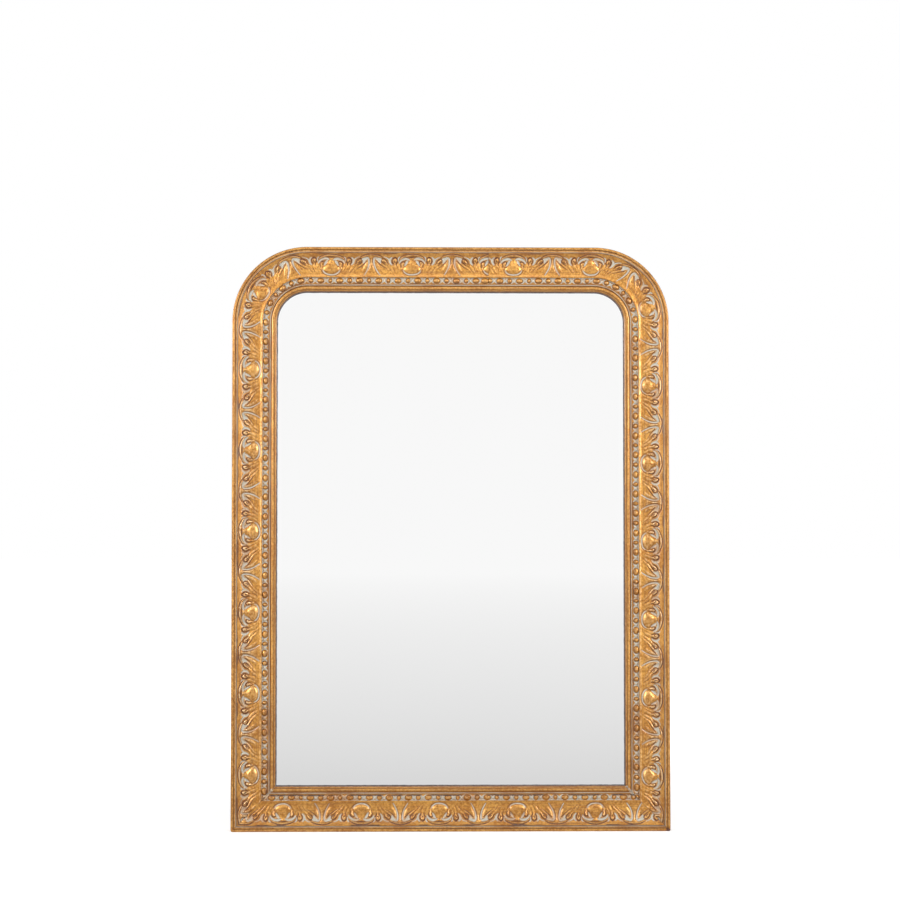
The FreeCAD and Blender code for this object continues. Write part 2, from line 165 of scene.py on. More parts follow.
def set_in_place(name, mesh, materials, body, nodes):
    """A piece of that mesh in the scene, riding on its body and standing for its nodes."""
    piece = in_scene(name, mesh)
    for material in materials:
        mesh.materials.append(material)
    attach(piece, body)
    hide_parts(*nodes)
    return piece


def finished(bm, name, materials, body, nodes, flat_angle):
    """Closes a piece: welded, normals outward, smooth up to an angle in degrees, and set in its place."""
    bmesh.ops.remove_doubles(bm, verts=bm.verts, dist=0.00001)
    bmesh.ops.recalc_face_normals(bm, faces=bm.faces)
    mesh = bpy.data.meshes.new(name)
    bm.to_mesh(mesh)
    bm.free()
    mesh.shade_smooth()
    mesh.set_sharp_from_angle(angle=math.radians(flat_angle))
    return set_in_place(name, mesh, materials, body, nodes)


def feed(socket, value):
    """Links another node's value to a socket, or sets a constant on it."""
    if isinstance(value, bpy.types.NodeSocket):
        socket.id_data.links.new(value, socket)
    else:
        socket.default_value = value


def new_node(tree, kind, feeds=None, **settings):
    """One node of a material or group: its settings, and what feeds each of its sockets."""
    node = tree.nodes.new(kind)
    for name, value in settings.items():
        setattr(node, name, value)
    for socket, value in (feeds or {}).items():
        feed(node.inputs[socket], value)
    return node


def object_place(tree):
    return new_node(tree, "ShaderNodeTexCoord").outputs["Object"]


def written(tree, name, output):
    """What the mesh keeps at each point under that name."""
    return new_node(tree, "ShaderNodeAttribute", attribute_name=name).outputs[output]


def xyz(place):
    return new_node(place.id_data, "ShaderNodeSeparateXYZ", {0: place}).outputs[:3]


def arithmetic(operation, first, second=0.0, clamp=False):
    """A sum of two values, at least one of them from a node."""
    tree = (first if isinstance(first, bpy.types.NodeSocket) else second).id_data
    feeds = {0: first, 1: second}
    return new_node(tree, "ShaderNodeMath", feeds, operation=operation, use_clamp=clamp).outputs[0]


def product(first, second):
    """Two values multiplied, and held between 0 and 1."""
    return arithmetic("MULTIPLY", first, second, True)


def weighted(*parts):
    """Values added up, each times its share."""
    amounts = [arithmetic("MULTIPLY", value, share) for value, share in parts]
    total = amounts[0]
    for amount in amounts[1:]:
        total = arithmetic("ADD", total, amount)
    return total


def straight_distance(across, up):
    tree = across.id_data
    both = new_node(tree, "ShaderNodeCombineXYZ", {0: across, 1: up}).outputs[0]
    return new_node(tree, "ShaderNodeVectorMath", {0: both}, operation="LENGTH").outputs["Value"]


def blended(share, first, second):
    """A colour between two colours."""
    return new_node(share.id_data, "ShaderNodeMix", {0: share, 6: first, 7: second}, data_type="RGBA").outputs[2]


def mottle(place, scale, detail, stretch=(1, 1, 1)):
    """Cloudy variation between 0 and 1, drawn out along the run by a stretch."""
    tree = place.id_data
    drawn = new_node(tree, "ShaderNodeVectorMath", {0: place, 1: stretch}, operation="MULTIPLY").outputs[0]
    return new_node(tree, "ShaderNodeTexNoise", {"Vector": drawn, "Scale": scale, "Detail": detail}).outputs["Fac"]


def band(value, low, high, start=0.0, end=1.0):
    """A value taken from one band to another and held at its ends."""
    feeds = {"Value": value, "From Min": low, "From Max": high, "To Min": start, "To Max": end}
    return new_node(value.id_data, "ShaderNodeMapRange", feeds).outputs[0]


def new_group(name, inputs, outputs):
    """A node group with named sockets, its inputs and its outputs."""
    tree = bpy.data.node_groups.new(name, "ShaderNodeTree")
    for in_out, sockets in (("INPUT", inputs), ("OUTPUT", outputs)):
        for socket, kind in sockets:
            tree.interface.new_socket(socket, in_out=in_out, socket_type="NodeSocket" + kind)
    return tree, tree.nodes.new("NodeGroupInput").outputs, tree.nodes.new("NodeGroupOutput").inputs


def aged_gilding():
    """Rubbed gold leaf over red bole: streaked and flecked, a pale grey wash in the hollows, dark cracks, and painted
    shade, shadow and highlights.
    """
    masks = [(name, "Float") for name in ("Wash", "Bole_And_Shade", "Painted_Highlight", "Shade_And_Cracks", "Streaks")]
    outputs = [("Color", "Color"), ("Roughness", "Float"), ("Metallic", "Float"), ("Height", "Float")]
    tree, given, result = new_group("aged_gilding", [("Run", "Vector")] + masks, outputs)
    run = given["Run"]
    clouds = mottle(run, 26, 3)
    leaf = mottle(run, 230, 4)
    specks = mottle(run, 400, 2)
    grit = mottle(run, 1500, 2)
    lines = mottle(run, 1, 3, (9, 620, 300))
    tone = weighted((clouds, 0.5), (leaf, 0.8))
    gold = blended(band(tone, 0.52, 0.78), (0.48, 0.19, 0.026, 1), (0.76, 0.385, 0.078, 1))
    worn = product(band(lines, 0.48, 0.64), given["Streaks"])
    gold = blended(worn, gold, (0.27, 0.11, 0.04, 1))
    gold = blended(band(specks, 0.55, 0.66, 0, 0.42), gold, (0.25, 0.09, 0.026, 1))
    # Painted highlight: a pale cream gold where the highlight share is high.
    highlight_share = product(given["Painted_Highlight"], band(leaf, 0.35, 0.6))
    gold = blended(highlight_share, gold, (0.93, 0.63, 0.33, 1))
    # Red bole where it shows through, and painted shade in hollows and along the forms' edges.
    red = product(given["Bole_And_Shade"], band(leaf, 0.32, 0.55, 0.65, 1.1))
    aged = blended(red, gold, (0.115, 0.034, 0.013, 1))
    pale = product(given["Wash"], band(clouds, 0.34, 0.56, 0.5, 1.15))
    pale = product(pale, band(grit, 0.3, 0.55, 0.8, 1.0))
    colour = blended(pale, aged, (0.455, 0.44, 0.375, 1))
    # Dark cracks at the joints, and painted shadow in the grooves.
    dark = product(given["Shade_And_Cracks"], band(leaf, 0.35, 0.55, 0.5, 1.0))
    colour = blended(dark, colour, (0.05, 0.036, 0.03, 1))
    dull = arithmetic("MAXIMUM", arithmetic("MAXIMUM", pale, dark), product(red, 0.6))
    roughness = weighted((band(leaf, 0.3, 0.7, 0.3, 0.5), 1), (highlight_share, -0.14), (dull, 0.4))
    metallic = band(dull, 0.0, 1.0, 0.78, 0.0)
    height = weighted((leaf, 0.6), (specks, 0.5), (lines, 0.35))
    for socket, value in zip(result, (colour, roughness, metallic, height)):
        feed(socket, value)
    return tree


def joint_marks():
    """Where the lengths meet: a thin crack at the seam and the mitres, filler beside it, a chip at the right foot."""
    outputs = [("Crack", "Float"), ("Filler", "Float"), ("Chip", "Float")]
    tree, given, result = new_group("joint_marks", [("Place", "Vector")], outputs)
    place = given["Place"]
    x, _, z = xyz(place)
    ragged = mottle(place, 160, 3)
    wander = band(ragged, 0.3, 0.7, -0.6 * mm, 0.6 * mm)
    past_glass = 418 * mm
    at_top = band(z, past_glass, past_glass + mm)
    at_foot = band(z, -past_glass, -past_glass - mm)
    from_seam = arithmetic("ABSOLUTE", arithmetic("ADD", arithmetic("SUBTRACT", x, seam_x), wander))
    outward = arithmetic("ADD", arithmetic("ABSOLUTE", x), z)
    from_mitre = arithmetic("ABSOLUTE", arithmetic("ADD", outward, half_height - half_width))
    filled = band(mottle(place, 90, 2), 0.42, 0.56, 0.9, 0.1)
    seam = product(band(from_seam, 0.3 * mm, 1.2 * mm, 1, 0), product(at_top, filled))
    mitre = product(band(arithmetic("ADD", from_mitre, wander), 0.2 * mm, 1.2 * mm, 1, 0), at_foot)
    wide = arithmetic("ADD", from_mitre, band(ragged, 0.35, 0.65, 3 * mm, -4 * mm))
    near_glass = band(z, 52 * mm - half_height, 62 * mm - half_height)
    filler = product(band(wide, 0.6 * mm, 2 * mm, 1, 0), product(at_foot, near_glass))
    from_foot = straight_distance(arithmetic("SUBTRACT", x, half_width), arithmetic("ADD", z, half_height))
    chip_edge = arithmetic("ADD", from_foot, band(ragged, 0.3, 0.7, -4 * mm, 4 * mm))
    chip = band(chip_edge, 6 * mm, 8 * mm, 1, 0)
    for socket, value in zip(result, (arithmetic("MAXIMUM", seam, mitre), filler, chip)):
        feed(socket, value)
    return tree


def new_material(name):
    """An empty material with its Principled shader, ready to be fed."""
    material = bpy.data.materials.new(name)
    material.use_nodes = True
    return material, material.node_tree, material.node_tree.nodes["Principled BSDF"]


def feed_shader(shader, bump=None, depth=0.0, **values):
    """Feeds the shader's sockets, and its normal from a height with that depth in metres."""
    for name, value in values.items():
        feed(shader.inputs[name.replace("_", " ").title()], value)
    if bump is not None:
        feeds = {"Strength": 1.0, "Distance": depth, "Height": bump}
        feed(shader.inputs["Normal"], new_node(shader.id_data, "ShaderNodeBump", feeds).outputs[0])


def across_moulding(inward, stops):
    """A mask by distance from the outer edge, in mm: soft lines where a stop's share is above 0."""
    span = 80
    ramp = new_node(inward.id_data, "ShaderNodeValToRGB", {0: arithmetic("DIVIDE", inward, span * mm)})
    entries = ramp.color_ramp.elements
    for number, (place, share) in enumerate(stops):
        entry = entries[number] if number < 2 else entries.new(place / span)
        entry.position = place / span
        entry.color = (share, share, share, 1)
    return ramp.outputs[0]


def gilded(shader, run, wash, bole_and_shade, painted_highlight, shade_and_cracks, streaks, depth):
    """Gilds a material: the shared gilding, with the marks of the joints over its own masks."""
    tree = shader.id_data
    marks = new_node(tree, "ShaderNodeGroup", {"Place": object_place(tree)}, node_tree=joints).outputs
    # The bole share carries painted shade as well as bole, the dirt share painted shadow as well as cracks, and the
    # rub share painted highlights.
    feeds = {
        "Run": run,
        "Wash": arithmetic("MAXIMUM", wash, product(marks["Filler"], 0.8)),
        "Bole_And_Shade": arithmetic("MAXIMUM", bole_and_shade, marks["Chip"]),
        "Painted_Highlight": painted_highlight,
        "Shade_And_Cracks": arithmetic("MAXIMUM", shade_and_cracks, product(marks["Crack"], 0.45)),
        "Streaks": streaks,
    }
    aged = new_node(tree, "ShaderNodeGroup", feeds, node_tree=gilding).outputs
    feed_shader(
        shader, aged["Height"], depth, base_color=aged["Color"], roughness=aged["Roughness"],
        metallic=aged["Metallic"], coat_weight=0.45, coat_roughness=0.25,
    )


gilding = aged_gilding()
joints = joint_marks()
gilt_wood, tree, shader = new_material("gilt_wood")
run = written(tree, "run", "Vector")
inward = xyz(run)[1]
wash_lines = across_moulding(inward, [
    (6.4, 0), (7.8, 0.1), (8.8, 0.45), (9.7, 0.45), (10.4, 0), (64.2, 0), (64.9, 0.9), (65.7, 0.8), (66.3, 0),
])
# Red bole at the outer edge, and painted shade: darker lines in the grooves, beside the beads and along the lip at
# the glass, where shade falls.
bole_and_shade_bands = across_moulding(inward, [
    (0.0, 0.4), (1.0, 0.08), (4.2, 0.08), (4.9, 0.35), (5.6, 0.35), (6.2, 0.15), (8.2, 0.22), (9.8, 0.7),
    (62.5, 0.6), (64.6, 0.6), (65.4, 0.25), (66.8, 0.8), (67.8, 0.45), (69.2, 0.1), (72.4, 0.1), (72.9, 0.7),
    (73.5, 0.7), (74.1, 0.28), (75.6, 0.35), (76.4, 0.8), (77.0, 0.95),
])
# Painted shadow: broken near-black lines in the outer groove and under the frieze's edge.
painted_shadow_line = across_moulding(inward, [
    (4.9, 0), (5.2, 0.5), (5.5, 0.5), (5.8, 0), (9.3, 0), (9.9, 1), (10.6, 1), (11.0, 0),
])
broken_painted_shadow = product(painted_shadow_line, band(mottle(run, 1, 3, (22, 1, 1)), 0.52, 0.6))
# A faint painted highlight over all the gilt wood.
gilded(shader, run, wash_lines, bole_and_shade_bands, painted_highlight=0.1, shade_and_cracks=broken_painted_shadow, streaks=0.6, depth=0.4 * mm)


def wood_grain():
    """Long grain of a plain timber: colour between two tones, and a height for its pores."""
    inputs = [("Place", "Vector"), ("Early Wood", "Color"), ("Late Wood", "Color")]
    tree, given, result = new_group("wood_grain", inputs, [("Color", "Color"), ("Height", "Float")])
    figure = mottle(given["Place"], 1, 2, (14, 120, 120))
    rings = arithmetic("FRACT", arithmetic("MULTIPLY", figure, 9))
    pores = mottle(given["Place"], 1, 2, (60, 1500, 1500))
    share = weighted((rings, 0.55), (pores, 0.5))
    feed(result["Color"], blended(share, given["Early Wood"], given["Late Wood"]))
    feed(result["Height"], pores)
    return tree


def bare_timber(shader, place, early, late, depth, roughness):
    """Feeds a material with the shared grain between two tones."""
    feeds = {"Place": place, "Early Wood": early, "Late Wood": late}
    timber = new_node(shader.id_data, "ShaderNodeGroup", feeds, node_tree=grain).outputs
    feed_shader(shader, timber["Height"], depth, base_color=timber["Color"], roughness=roughness)


grain = wood_grain()
bare_back, tree, shader = new_material("bare_back")
run = written(tree, "run", "Vector")
bare_timber(shader, run, (0.50, 0.34, 0.18, 1), (0.33, 0.19, 0.085, 1), depth=0.3 * mm, roughness=0.72)


def wooden_length(name, run):
    """A finished length: gilt where it shows, bare on its back and in the rebate."""
    bm = bmesh.new()
    side = -1 if run == "right" else 1
    if name.endswith("stile"):
        drawn_out(bm, new_section(bm, 0), (0, 0, stile_length))
        bmesh.ops.translate(bm, verts=bm.verts, vec=(-half_width, back, -half_height))
        mitred(bm, (-half_width, 0, -half_height), (1, 0, -1))
        rubbed_corner(bm, -1)
    elif name.endswith("arch"):
        section = new_section(bm, 0)
        bmesh.ops.translate(bm, verts=bm.verts, vec=(-half_width, back, corner_z))
        turn = bmesh.ops.spin(
            bm, geom=section, cent=(corner_x, 0, corner_z), axis=(0, 1, 0), angle=math.pi / 2, steps=40
        )["geom_last"]
        drawn_out(bm, only(BMFace, turn), (seam_x * side - corner_x, 0, 0))
    else:
        drawn_out(bm, new_section(bm, -1), (-2 * half_width, 0, 0))
        bmesh.ops.translate(bm, verts=bm.verts, vec=(half_width, back, -half_height))
        mitred(bm, (-half_width, 0, -half_height), (-1, 0, 1))
        mitred(bm, (half_width, 0, -half_height), (1, 0, 1))
        rubbed_corner(bm, -1)
        rubbed_corner(bm, 1)
    if side < 0:
        bmesh.ops.scale(bm, vec=(-1, 1, 1), verts=bm.verts)
    mesh = finished(bm, "gilt_" + name, [gilt_wood, bare_back], "frame", [name], 38).data
    write_run(mesh, run_places(mesh_points(mesh), run))
    for polygon in mesh.polygons:
        in_rebate = polygon.center.y > lip_back and abs(polygon.normal.y) < 0.5
        inner = run_places(np.array([polygon.center]), run)[0][1] > rebate_start
        polygon.material_index = int(polygon.normal.y > 0.5 or (in_rebate and inner))


wooden_length("left_stile", "left")
wooden_length("left_arch", "left")
wooden_length("right_arch", "right")
wooden_length("right_stile", "right")
wooden_length("bottom_rail", "bottom")


# Ornament strips of the frieze: composition pressed in a carved mould and bent, while warm, round the bed.
# Each cartouche has an egg boss in a groove, horned volutes under a brow, buds and leaf fingers; palmettes between.
# The strips are gilded with the frame, and a grey wash was wiped off their tops and left in the hollows.
frieze_start, frieze_end = 10.3, 52.5
ground_thickness = 1.2
outer_corner = 11.2
inner_crest = 50.2
drawn_repeat = 136.0
cell = 0.25
drawn_along = np.arange(0, drawn_repeat / 2 + cell, cell)
drawn_inward = np.arange(frieze_start, frieze_end + cell, cell)
sheet_along, sheet_inward = np.meshgrid(drawn_along, drawn_inward, indexing="ij")

raised_strokes = {
    "brow": [(0, 14.4, 1.8, 1.5), (6, 14.8, 1.9, 1.6), (12, 16.4, 1.6, 1.5), (17, 18.4, 1.2, 1.2),
             (20.6, 20.8, 0.7, 0.7)],
    "volute_knob": [(13.4, 26.8, 1.5, 1.8), (15.2, 27.8, 2.1, 2.6), (16.2, 30.2, 2.0, 2.4), (15.6, 33.4, 1.4, 1.6)],
    "knob_tail": [(15.6, 33.4, 1.4, 1.5), (16.2, 36, 1.3, 1.1), (16.0, 39, 0.9, 0.5), (15.2, 41.4, 0.6, 0.2)],
    "bud": [(29.0, 22.0, 3.1, 3.0), (29.2, 23.6, 3.5, 3.5), (29.2, 25.2, 3.0, 3.0)],
    "bud_stem": [(29.0, 28.6, 1.6, 1.0), (28.0, 33, 2.0, 0.7), (25.0, 39.6, 2.2, 0.7), (22.0, 45.6, 1.2, 0.2)],
    "second_bud": [(48.2, 23.8, 2.4, 2.5), (46.4, 25.4, 3.0, 3.2), (44.4, 27.2, 2.5, 2.6)],
    "second_stem": [(41.4, 30.2, 1.7, 1.0), (37.0, 34.2, 2.1, 0.7), (32.8, 39.6, 2.2, 0.7), (28.2, 45.8, 1.2, 0.2)],
    "leaf_edge": [(52.6, 28.6, 1.4, 1.2), (46.4, 33.2, 1.8, 0.8), (39.8, 38.6, 1.9, 0.7), (33.8, 46.2, 1.1, 0.2)],
    "near_vein": [(22.4, 27.6, 0.9, 0.7), (23.0, 32, 1.2, 0.7), (21.0, 38, 1.2, 0.6), (17.6, 43.6, 0.8, 0.2)],
    "palmette_leaf": [(60.2, 22, 1.2, 1.3), (59.0, 29, 2.2, 1.6), (55.6, 36.5, 2.3, 1.2), (50.5, 43, 1.2, 0.3)],
    "palmette_brow": [(68, 14.2, 1.8, 1.5), (61, 14.8, 1.7, 1.5), (55, 16.4, 1.3, 1.2), (50.8, 18.2, 0.7, 0.6)],
}
washed_hollows = {
    "crescent": [(4.0, 21.6, 0.9, 0.7), (7.0, 20.2, 1.6, 1.0), (11, 19.8, 2.0, 1.1), (16, 21.2, 1.8, 1.0),
                 (19.8, 24.2, 1.4, 0.9), (21.6, 27.6, 0.8, 0.5)],
    "volute_hollow": [(7.0, 23.6, 1.2, 0.8), (8.6, 25.4, 1.9, 1.0), (10.0, 28.2, 1.7, 1.0), (11.6, 31.6, 0.9, 0.6)],
    "egg_line": [(14.2, 39.4, 0.6, 0.35), (12.4, 43.0, 0.9, 0.5), (8.8, 45.8, 1.05, 0.55), (4.6, 47.3, 1.1, 0.6),
                 (0, 47.8, 1.1, 0.6)],
    "brow_notch": [(21.2, 17.0, 0.8, 0.5), (23.0, 18.6, 1.0, 0.6), (23.4, 21.4, 0.8, 0.5), (23.2, 24.2, 0.6, 0.4)],
    "bud_hollow": [(34.2, 18.0, 1.0, 0.6), (36.4, 20.2, 1.5, 0.8), (37.4, 23.6, 1.9, 0.9), (36.4, 27.0, 1.5, 0.8),
                   (34.0, 30.2, 0.9, 0.5)],
    "leaf_vein": [(47.6, 17.0, 0.6, 0.3), (43.6, 18.4, 0.8, 0.4), (40.2, 20.4, 1.1, 0.6), (38.4, 22.6, 1.2, 0.7)],
    "leaf_hollow": [(52.6, 20.8, 1.4, 0.8), (55.4, 20.4, 2.4, 1.0), (58.6, 20.0, 2.2, 0.9)],
    "leaf_pocket": [(55.4, 21.8, 2.7, 1.0), (54.4, 24.8, 1.8, 0.8), (53.4, 27, 0.9, 0.5)],
    "palmette_line": [(59, 18.0, 1.0, 0.6), (62.2, 18.8, 1.4, 0.8), (63.8, 22.5, 1.4, 0.9), (63.5, 29, 1.1, 0.8),
                      (61.6, 36, 1.0, 0.7), (58.4, 42.5, 0.9, 0.6), (55, 48, 0.7, 0.4)],
}
# Painted shade lines: dark brown outlines along the forms' edges and under them, where shade falls; they also sink
# shallow grooves.
painted_shade_lines = {
    "over_brow": [(0, 12.1, 1.0, 1), (8, 12.9, 1.0, 1), (14, 14.8, 1.0, 1), (19.6, 17.8, 0.9, 1),
                  (22.0, 20.6, 0.7, 0.7)],
    "under_brow": [(0, 17.6, 1.4, 0.8), (4, 17.4, 1.0, 0.6), (10, 17.6, 0.6, 0.5)],
    "knob_hook": [(12.6, 32, 0.7, 0.7), (12.0, 28.4, 0.9, 0.9), (12.9, 25.2, 1.1, 1), (15.8, 25.0, 1.1, 1),
                  (18.4, 27.6, 1.0, 1), (18.6, 31.6, 0.8, 0.8), (17.4, 36, 0.6, 0.5)],
    "round_bud": [(26.0, 32.6, 0.5, 0.4), (26.8, 29.4, 0.9, 0.8), (25.2, 26.2, 1.1, 1), (24.9, 21.8, 1.1, 1),
                  (29.0, 17.8, 1.4, 1), (33.2, 21.6, 1.1, 1), (33.2, 26, 1.1, 1), (31.4, 29.4, 0.9, 0.8),
                  (31.2, 32.6, 0.5, 0.4)],
    "bud_curl": [(28.0, 26.4, 0.6, 0.7), (29.8, 25.4, 0.7, 0.8), (30.0, 23.2, 0.6, 0.6)],
    "round_second_bud": [(38.6, 30.6, 0.5, 0.4), (41.2, 27.8, 0.9, 0.9), (42.6, 24.4, 1.1, 1), (46.2, 20.8, 1.1, 1),
                         (49.8, 20.0, 1.3, 1), (51.6, 22.6, 1.1, 1), (50.2, 26.6, 1.1, 1), (46.4, 29.8, 0.9, 0.8),
                         (43.6, 32.2, 0.5, 0.4)],
    "second_curl": [(44.6, 28.0, 0.6, 0.7), (47.2, 26.6, 0.7, 0.8), (48.2, 24.4, 0.6, 0.6)],
    "under_leaf": [(60.2, 24, 0.7, 0.8), (57.2, 26.8, 0.9, 0.9), (52.8, 30.6, 0.9, 0.8), (47.0, 35.0, 0.7, 0.6),
                   (41.6, 38.4, 0.5, 0.4)],
    "between_stems": [(31.4, 36, 0.7, 0.5), (28.4, 42, 0.7, 0.35), (26.6, 45.5, 0.5, 0.2)],
    "beside_leaf": [(37.4, 37.4, 0.7, 0.5), (33.6, 42.4, 0.7, 0.35), (31.4, 46, 0.5, 0.2)],
    "under_egg": [(17.4, 38.4, 0.6, 0.5), (15.2, 43.4, 0.7, 0.6), (10.6, 47.4, 0.7, 0.6), (5.4, 49.2, 0.6, 0.5),
                  (0, 49.8, 0.6, 0.4)],
    "round_egg": [(11.4, 32.4, 0.6, 0.5), (14.0, 35.4, 0.6, 0.5), (14.4, 38.4, 0.5, 0.4)],
    "over_palmette": [(68, 12.1, 1.0, 1), (60, 12.9, 1.0, 1), (53.4, 15.2, 1.0, 1), (49, 17.8, 0.7, 0.7)],
    "palmette_edge": [(66.0, 19.5, 0.7, 0.8), (65.7, 27, 0.7, 0.7), (64.0, 34.5, 0.7, 0.6), (60.8, 41.5, 0.6, 0.4)],
}
egg_outline = [(18, 1.3), (22, 1.8), (25, 2.8), (27.5, 5.0), (30, 8.2), (33, 11.6), (36, 13.4), (38.5, 13.6),
               (41, 12.4), (43.5, 9.4), (45.4, 5.4), (46.8, 0.4)]
egg_crown = [(18, 1.2), (22, 1.3), (25, 1.6), (27.5, 2.1), (30, 2.7), (33, 3.2), (37, 3.5), (40, 3.3),
             (43, 2.6), (45.4, 1.5), (46.8, 0.5)]
trumpet_outline = [(16, 2.4), (22, 3.2), (28, 3.6), (35, 5.2), (42, 8.8), (49.5, 13)]
trumpet_crown = [(16, 1.5), (25, 1.9), (38, 1.4), (49.5, 0.2)]


def smooth_path(points):
    """A smooth line through a stroke's points, its half width and its height with them."""
    knots = np.array([points[0]] + points + [points[-1]], dtype=float)
    path = []
    for a, b, c, d in zip(knots, knots[1:], knots[2:], knots[3:]):
        for t in np.linspace(0, 1, 8, endpoint=False):
            squared = (2 * a - 5 * b + 4 * c - d) * t**2
            cubed = (3 * b - a - 3 * c + d) * t**3
            path.append(0.5 * (2 * b + (c - a) * t + squared + cubed))
    return np.array(path + [knots[-1]])


def rise(value, start, width):
    """From 0 at a start to 1 a width further on, and held there; a width below 0 goes the other way."""
    return np.clip((value - start) / width, 0, 1)


def ridge(value, middle, width):
    """1 in the middle, falling softly away on both sides."""
    return np.exp(-(((value - middle) / width) ** 2))


def rounded(value, half):
    """1 in the middle and 0 at half a width: the square of a round section's height."""
    return np.clip(1 - (value / half) ** 2, 0, 1)


def stroke_relief(points):
    """Height of one rounded stroke over the drawing of half a repeat."""
    relief = np.zeros_like(sheet_along)
    path = smooth_path(points)
    for here, after in zip(path, path[1:]):
        step = after - here
        reach = (sheet_along - here[0]) * step[0] + (sheet_inward - here[1]) * step[1]
        share = np.clip(reach / max(step[0] ** 2 + step[1] ** 2, 1e-9), 0, 1)
        away = np.hypot(sheet_along - here[0] - share * step[0], sheet_inward - here[1] - share * step[1])
        width = here[2] + share * step[2]
        height = here[3] + share * step[3]
        relief = np.maximum(relief, height * np.sqrt(rounded(away, width)))
    return relief


def all_strokes(strokes):
    return np.maximum.reduce([stroke_relief(points) for points in strokes.values()])


def boss_relief(middle, outline, crown):
    """Height of a swelling form with a straight middle line and a changing half width."""
    width = np.interp(sheet_inward, *zip(*outline), left=0.01, right=0.01)
    height = np.interp(sheet_inward, *zip(*crown), left=0, right=0)
    return height * np.sqrt(rounded(sheet_along - middle, width))


def softened(sheet, width):
    """A drawing blurred over a width in mm, as if it ran on past its edges."""
    reach = int(3 * width / cell)
    weights = np.exp(-0.5 * (np.arange(-reach, reach + 1) * cell / width) ** 2)
    weights /= weights.sum()
    for axis in (0, 1):
        margins = [(reach, reach) if number == axis else (0, 0) for number in (0, 1)]
        padded = np.pad(sheet, margins, mode="reflect")
        sheet = np.apply_along_axis(lambda line: np.convolve(line, weights, mode="valid"), axis, padded)
    return sheet


egg = boss_relief(0, egg_outline, egg_crown)
trumpet = boss_relief(drawn_repeat / 2, trumpet_outline, trumpet_crown)
drawn_relief = np.maximum(all_strokes(raised_strokes), softened(np.maximum(egg, trumpet), 1.3))
drawn_hollows = all_strokes(washed_hollows)
drawn_shade_lines = rise(all_strokes(painted_shade_lines), 0, 0.55)
drawn_patches = rise(drawn_hollows, 0, 0.35)
lined_relief = drawn_relief * (1 - 0.8 * drawn_shade_lines) - 0.4 * drawn_shade_lines
drawn_relief = softened(np.where(drawn_hollows > 0.05, -0.9 * drawn_hollows, lined_relief), 0.3)
drawn_wash = softened(drawn_patches, 0.25)
# Painted shade: brown round the wash patches, in the hollows below the blurred relief and along the shade lines, less
# under the wash.
patch_edge_shade = np.clip(2.0 * (softened(drawn_patches, 0.9) - drawn_patches), 0, 0.85)
drawn_shade = np.clip((softened(drawn_relief, 1.0) - drawn_relief - 0.08) / 0.5, 0, 0.8)
drawn_shade = np.maximum.reduce([drawn_shade, softened(drawn_shade_lines, 0.25), patch_edge_shade]) * (1 - 0.9 * drawn_wash)
# Painted highlight on forms that stand above their blurred surroundings.
drawn_highlight = np.clip((drawn_relief - softened(drawn_relief, 1.8)) / 1.2, 0, 0.7)


def from_drawing(sheet, along, inward):
    """Values of a drawing at places in mm, between its cells."""
    i = np.clip(along / cell, 0, len(drawn_along) - 1.001)
    j = np.clip((inward - frieze_start) / cell, 0, len(drawn_inward) - 1.001)
    i0, j0 = i.astype(int), j.astype(int)
    fi, fj = i - i0, j - j0
    near = sheet[i0, j0] * (1 - fi) + sheet[i0 + 1, j0] * fi
    far = sheet[i0, j0 + 1] * (1 - fi) + sheet[i0 + 1, j0 + 1] * fi
    return near * (1 - fj) + far * fj


def run_point(along, inward, height, line, run):
    """Points at places of a run, in metres, from the distance along it on a line, inward and forward."""
    if run == "bottom":
        return np.stack([along - half_width, back - height, inward - half_height], axis=1)
    turned = np.clip((along - stile_length) / (corner_radius - line), 0, math.pi / 2)
    reach = corner_radius - inward
    x = corner_x - reach * np.cos(turned) + np.maximum(along - stile_length - bend_length(line), 0)
    z = corner_z + reach * np.sin(turned) + np.minimum(along - stile_length, 0)
    return np.stack([x if run == "left" else -x, back - height, z], axis=1)


def strip_length(line, run):
    """Length of a side strip on a line, from the foot to the seam in the top, in mm."""
    seam = -seam_x if run == "right" else seam_x
    return (stile_length + bend_length(line) + seam - corner_x) / mm


def pressed_sheet(node, steps, low, high, line, run, shape_at):
    """A pressed strip on its bed: a fine grid laid along a run and raised by its ornament, its edges turned down.

    Low and high are its edges in mm inward, and shape_at gives height, wash, bole with painted shade, painted
    highlight and painted shadow for places in mm.
    """
    turned_down = 3.0
    name = "pressed_" + node
    bm = bmesh.new()
    bmesh.ops.create_grid(bm, x_segments=steps[0], y_segments=steps[1], size=0.5)
    mesh = bpy.data.meshes.new(name)
    bm.to_mesh(mesh)
    bm.free()
    share, across = mesh_points(mesh).T[:2] + 0.5
    edge = np.zeros(len(share), dtype=bool)
    for part, count in ((share, steps[0]), (across, steps[1])):
        edge |= (part < 0.5 / count) | (part > 1 - 0.5 / count)
        part[:] = np.clip((part * count - 1) / (count - 2), 0, 1)
    inward = low + across * (high - low)
    end = 2 * half_width / mm - inward if run == "bottom" else strip_length(line, run)
    along = inward + share * (end - inward)
    height, *masks = shape_at(along, inward)
    height = np.where(edge, height - turned_down, height)
    places = np.stack([along * mm, inward * mm, height * mm], axis=1)
    mesh.vertices.foreach_set("co", run_point(*places.T, line, run).ravel())
    mesh.update()
    write_run(mesh, places)
    for mask, values in zip(("wash", "bole_and_shade", "painted_highlight", "painted_shadow"), masks):
        mesh.attributes.new(mask, "FLOAT", "POINT").data.foreach_set("value", values)
    if mesh.polygons[len(mesh.polygons) // 2].normal.y > 0:
        mesh.flip_normals()
    mesh.shade_smooth()
    set_in_place(name, mesh, [gilt_ornament], "frame", [node])


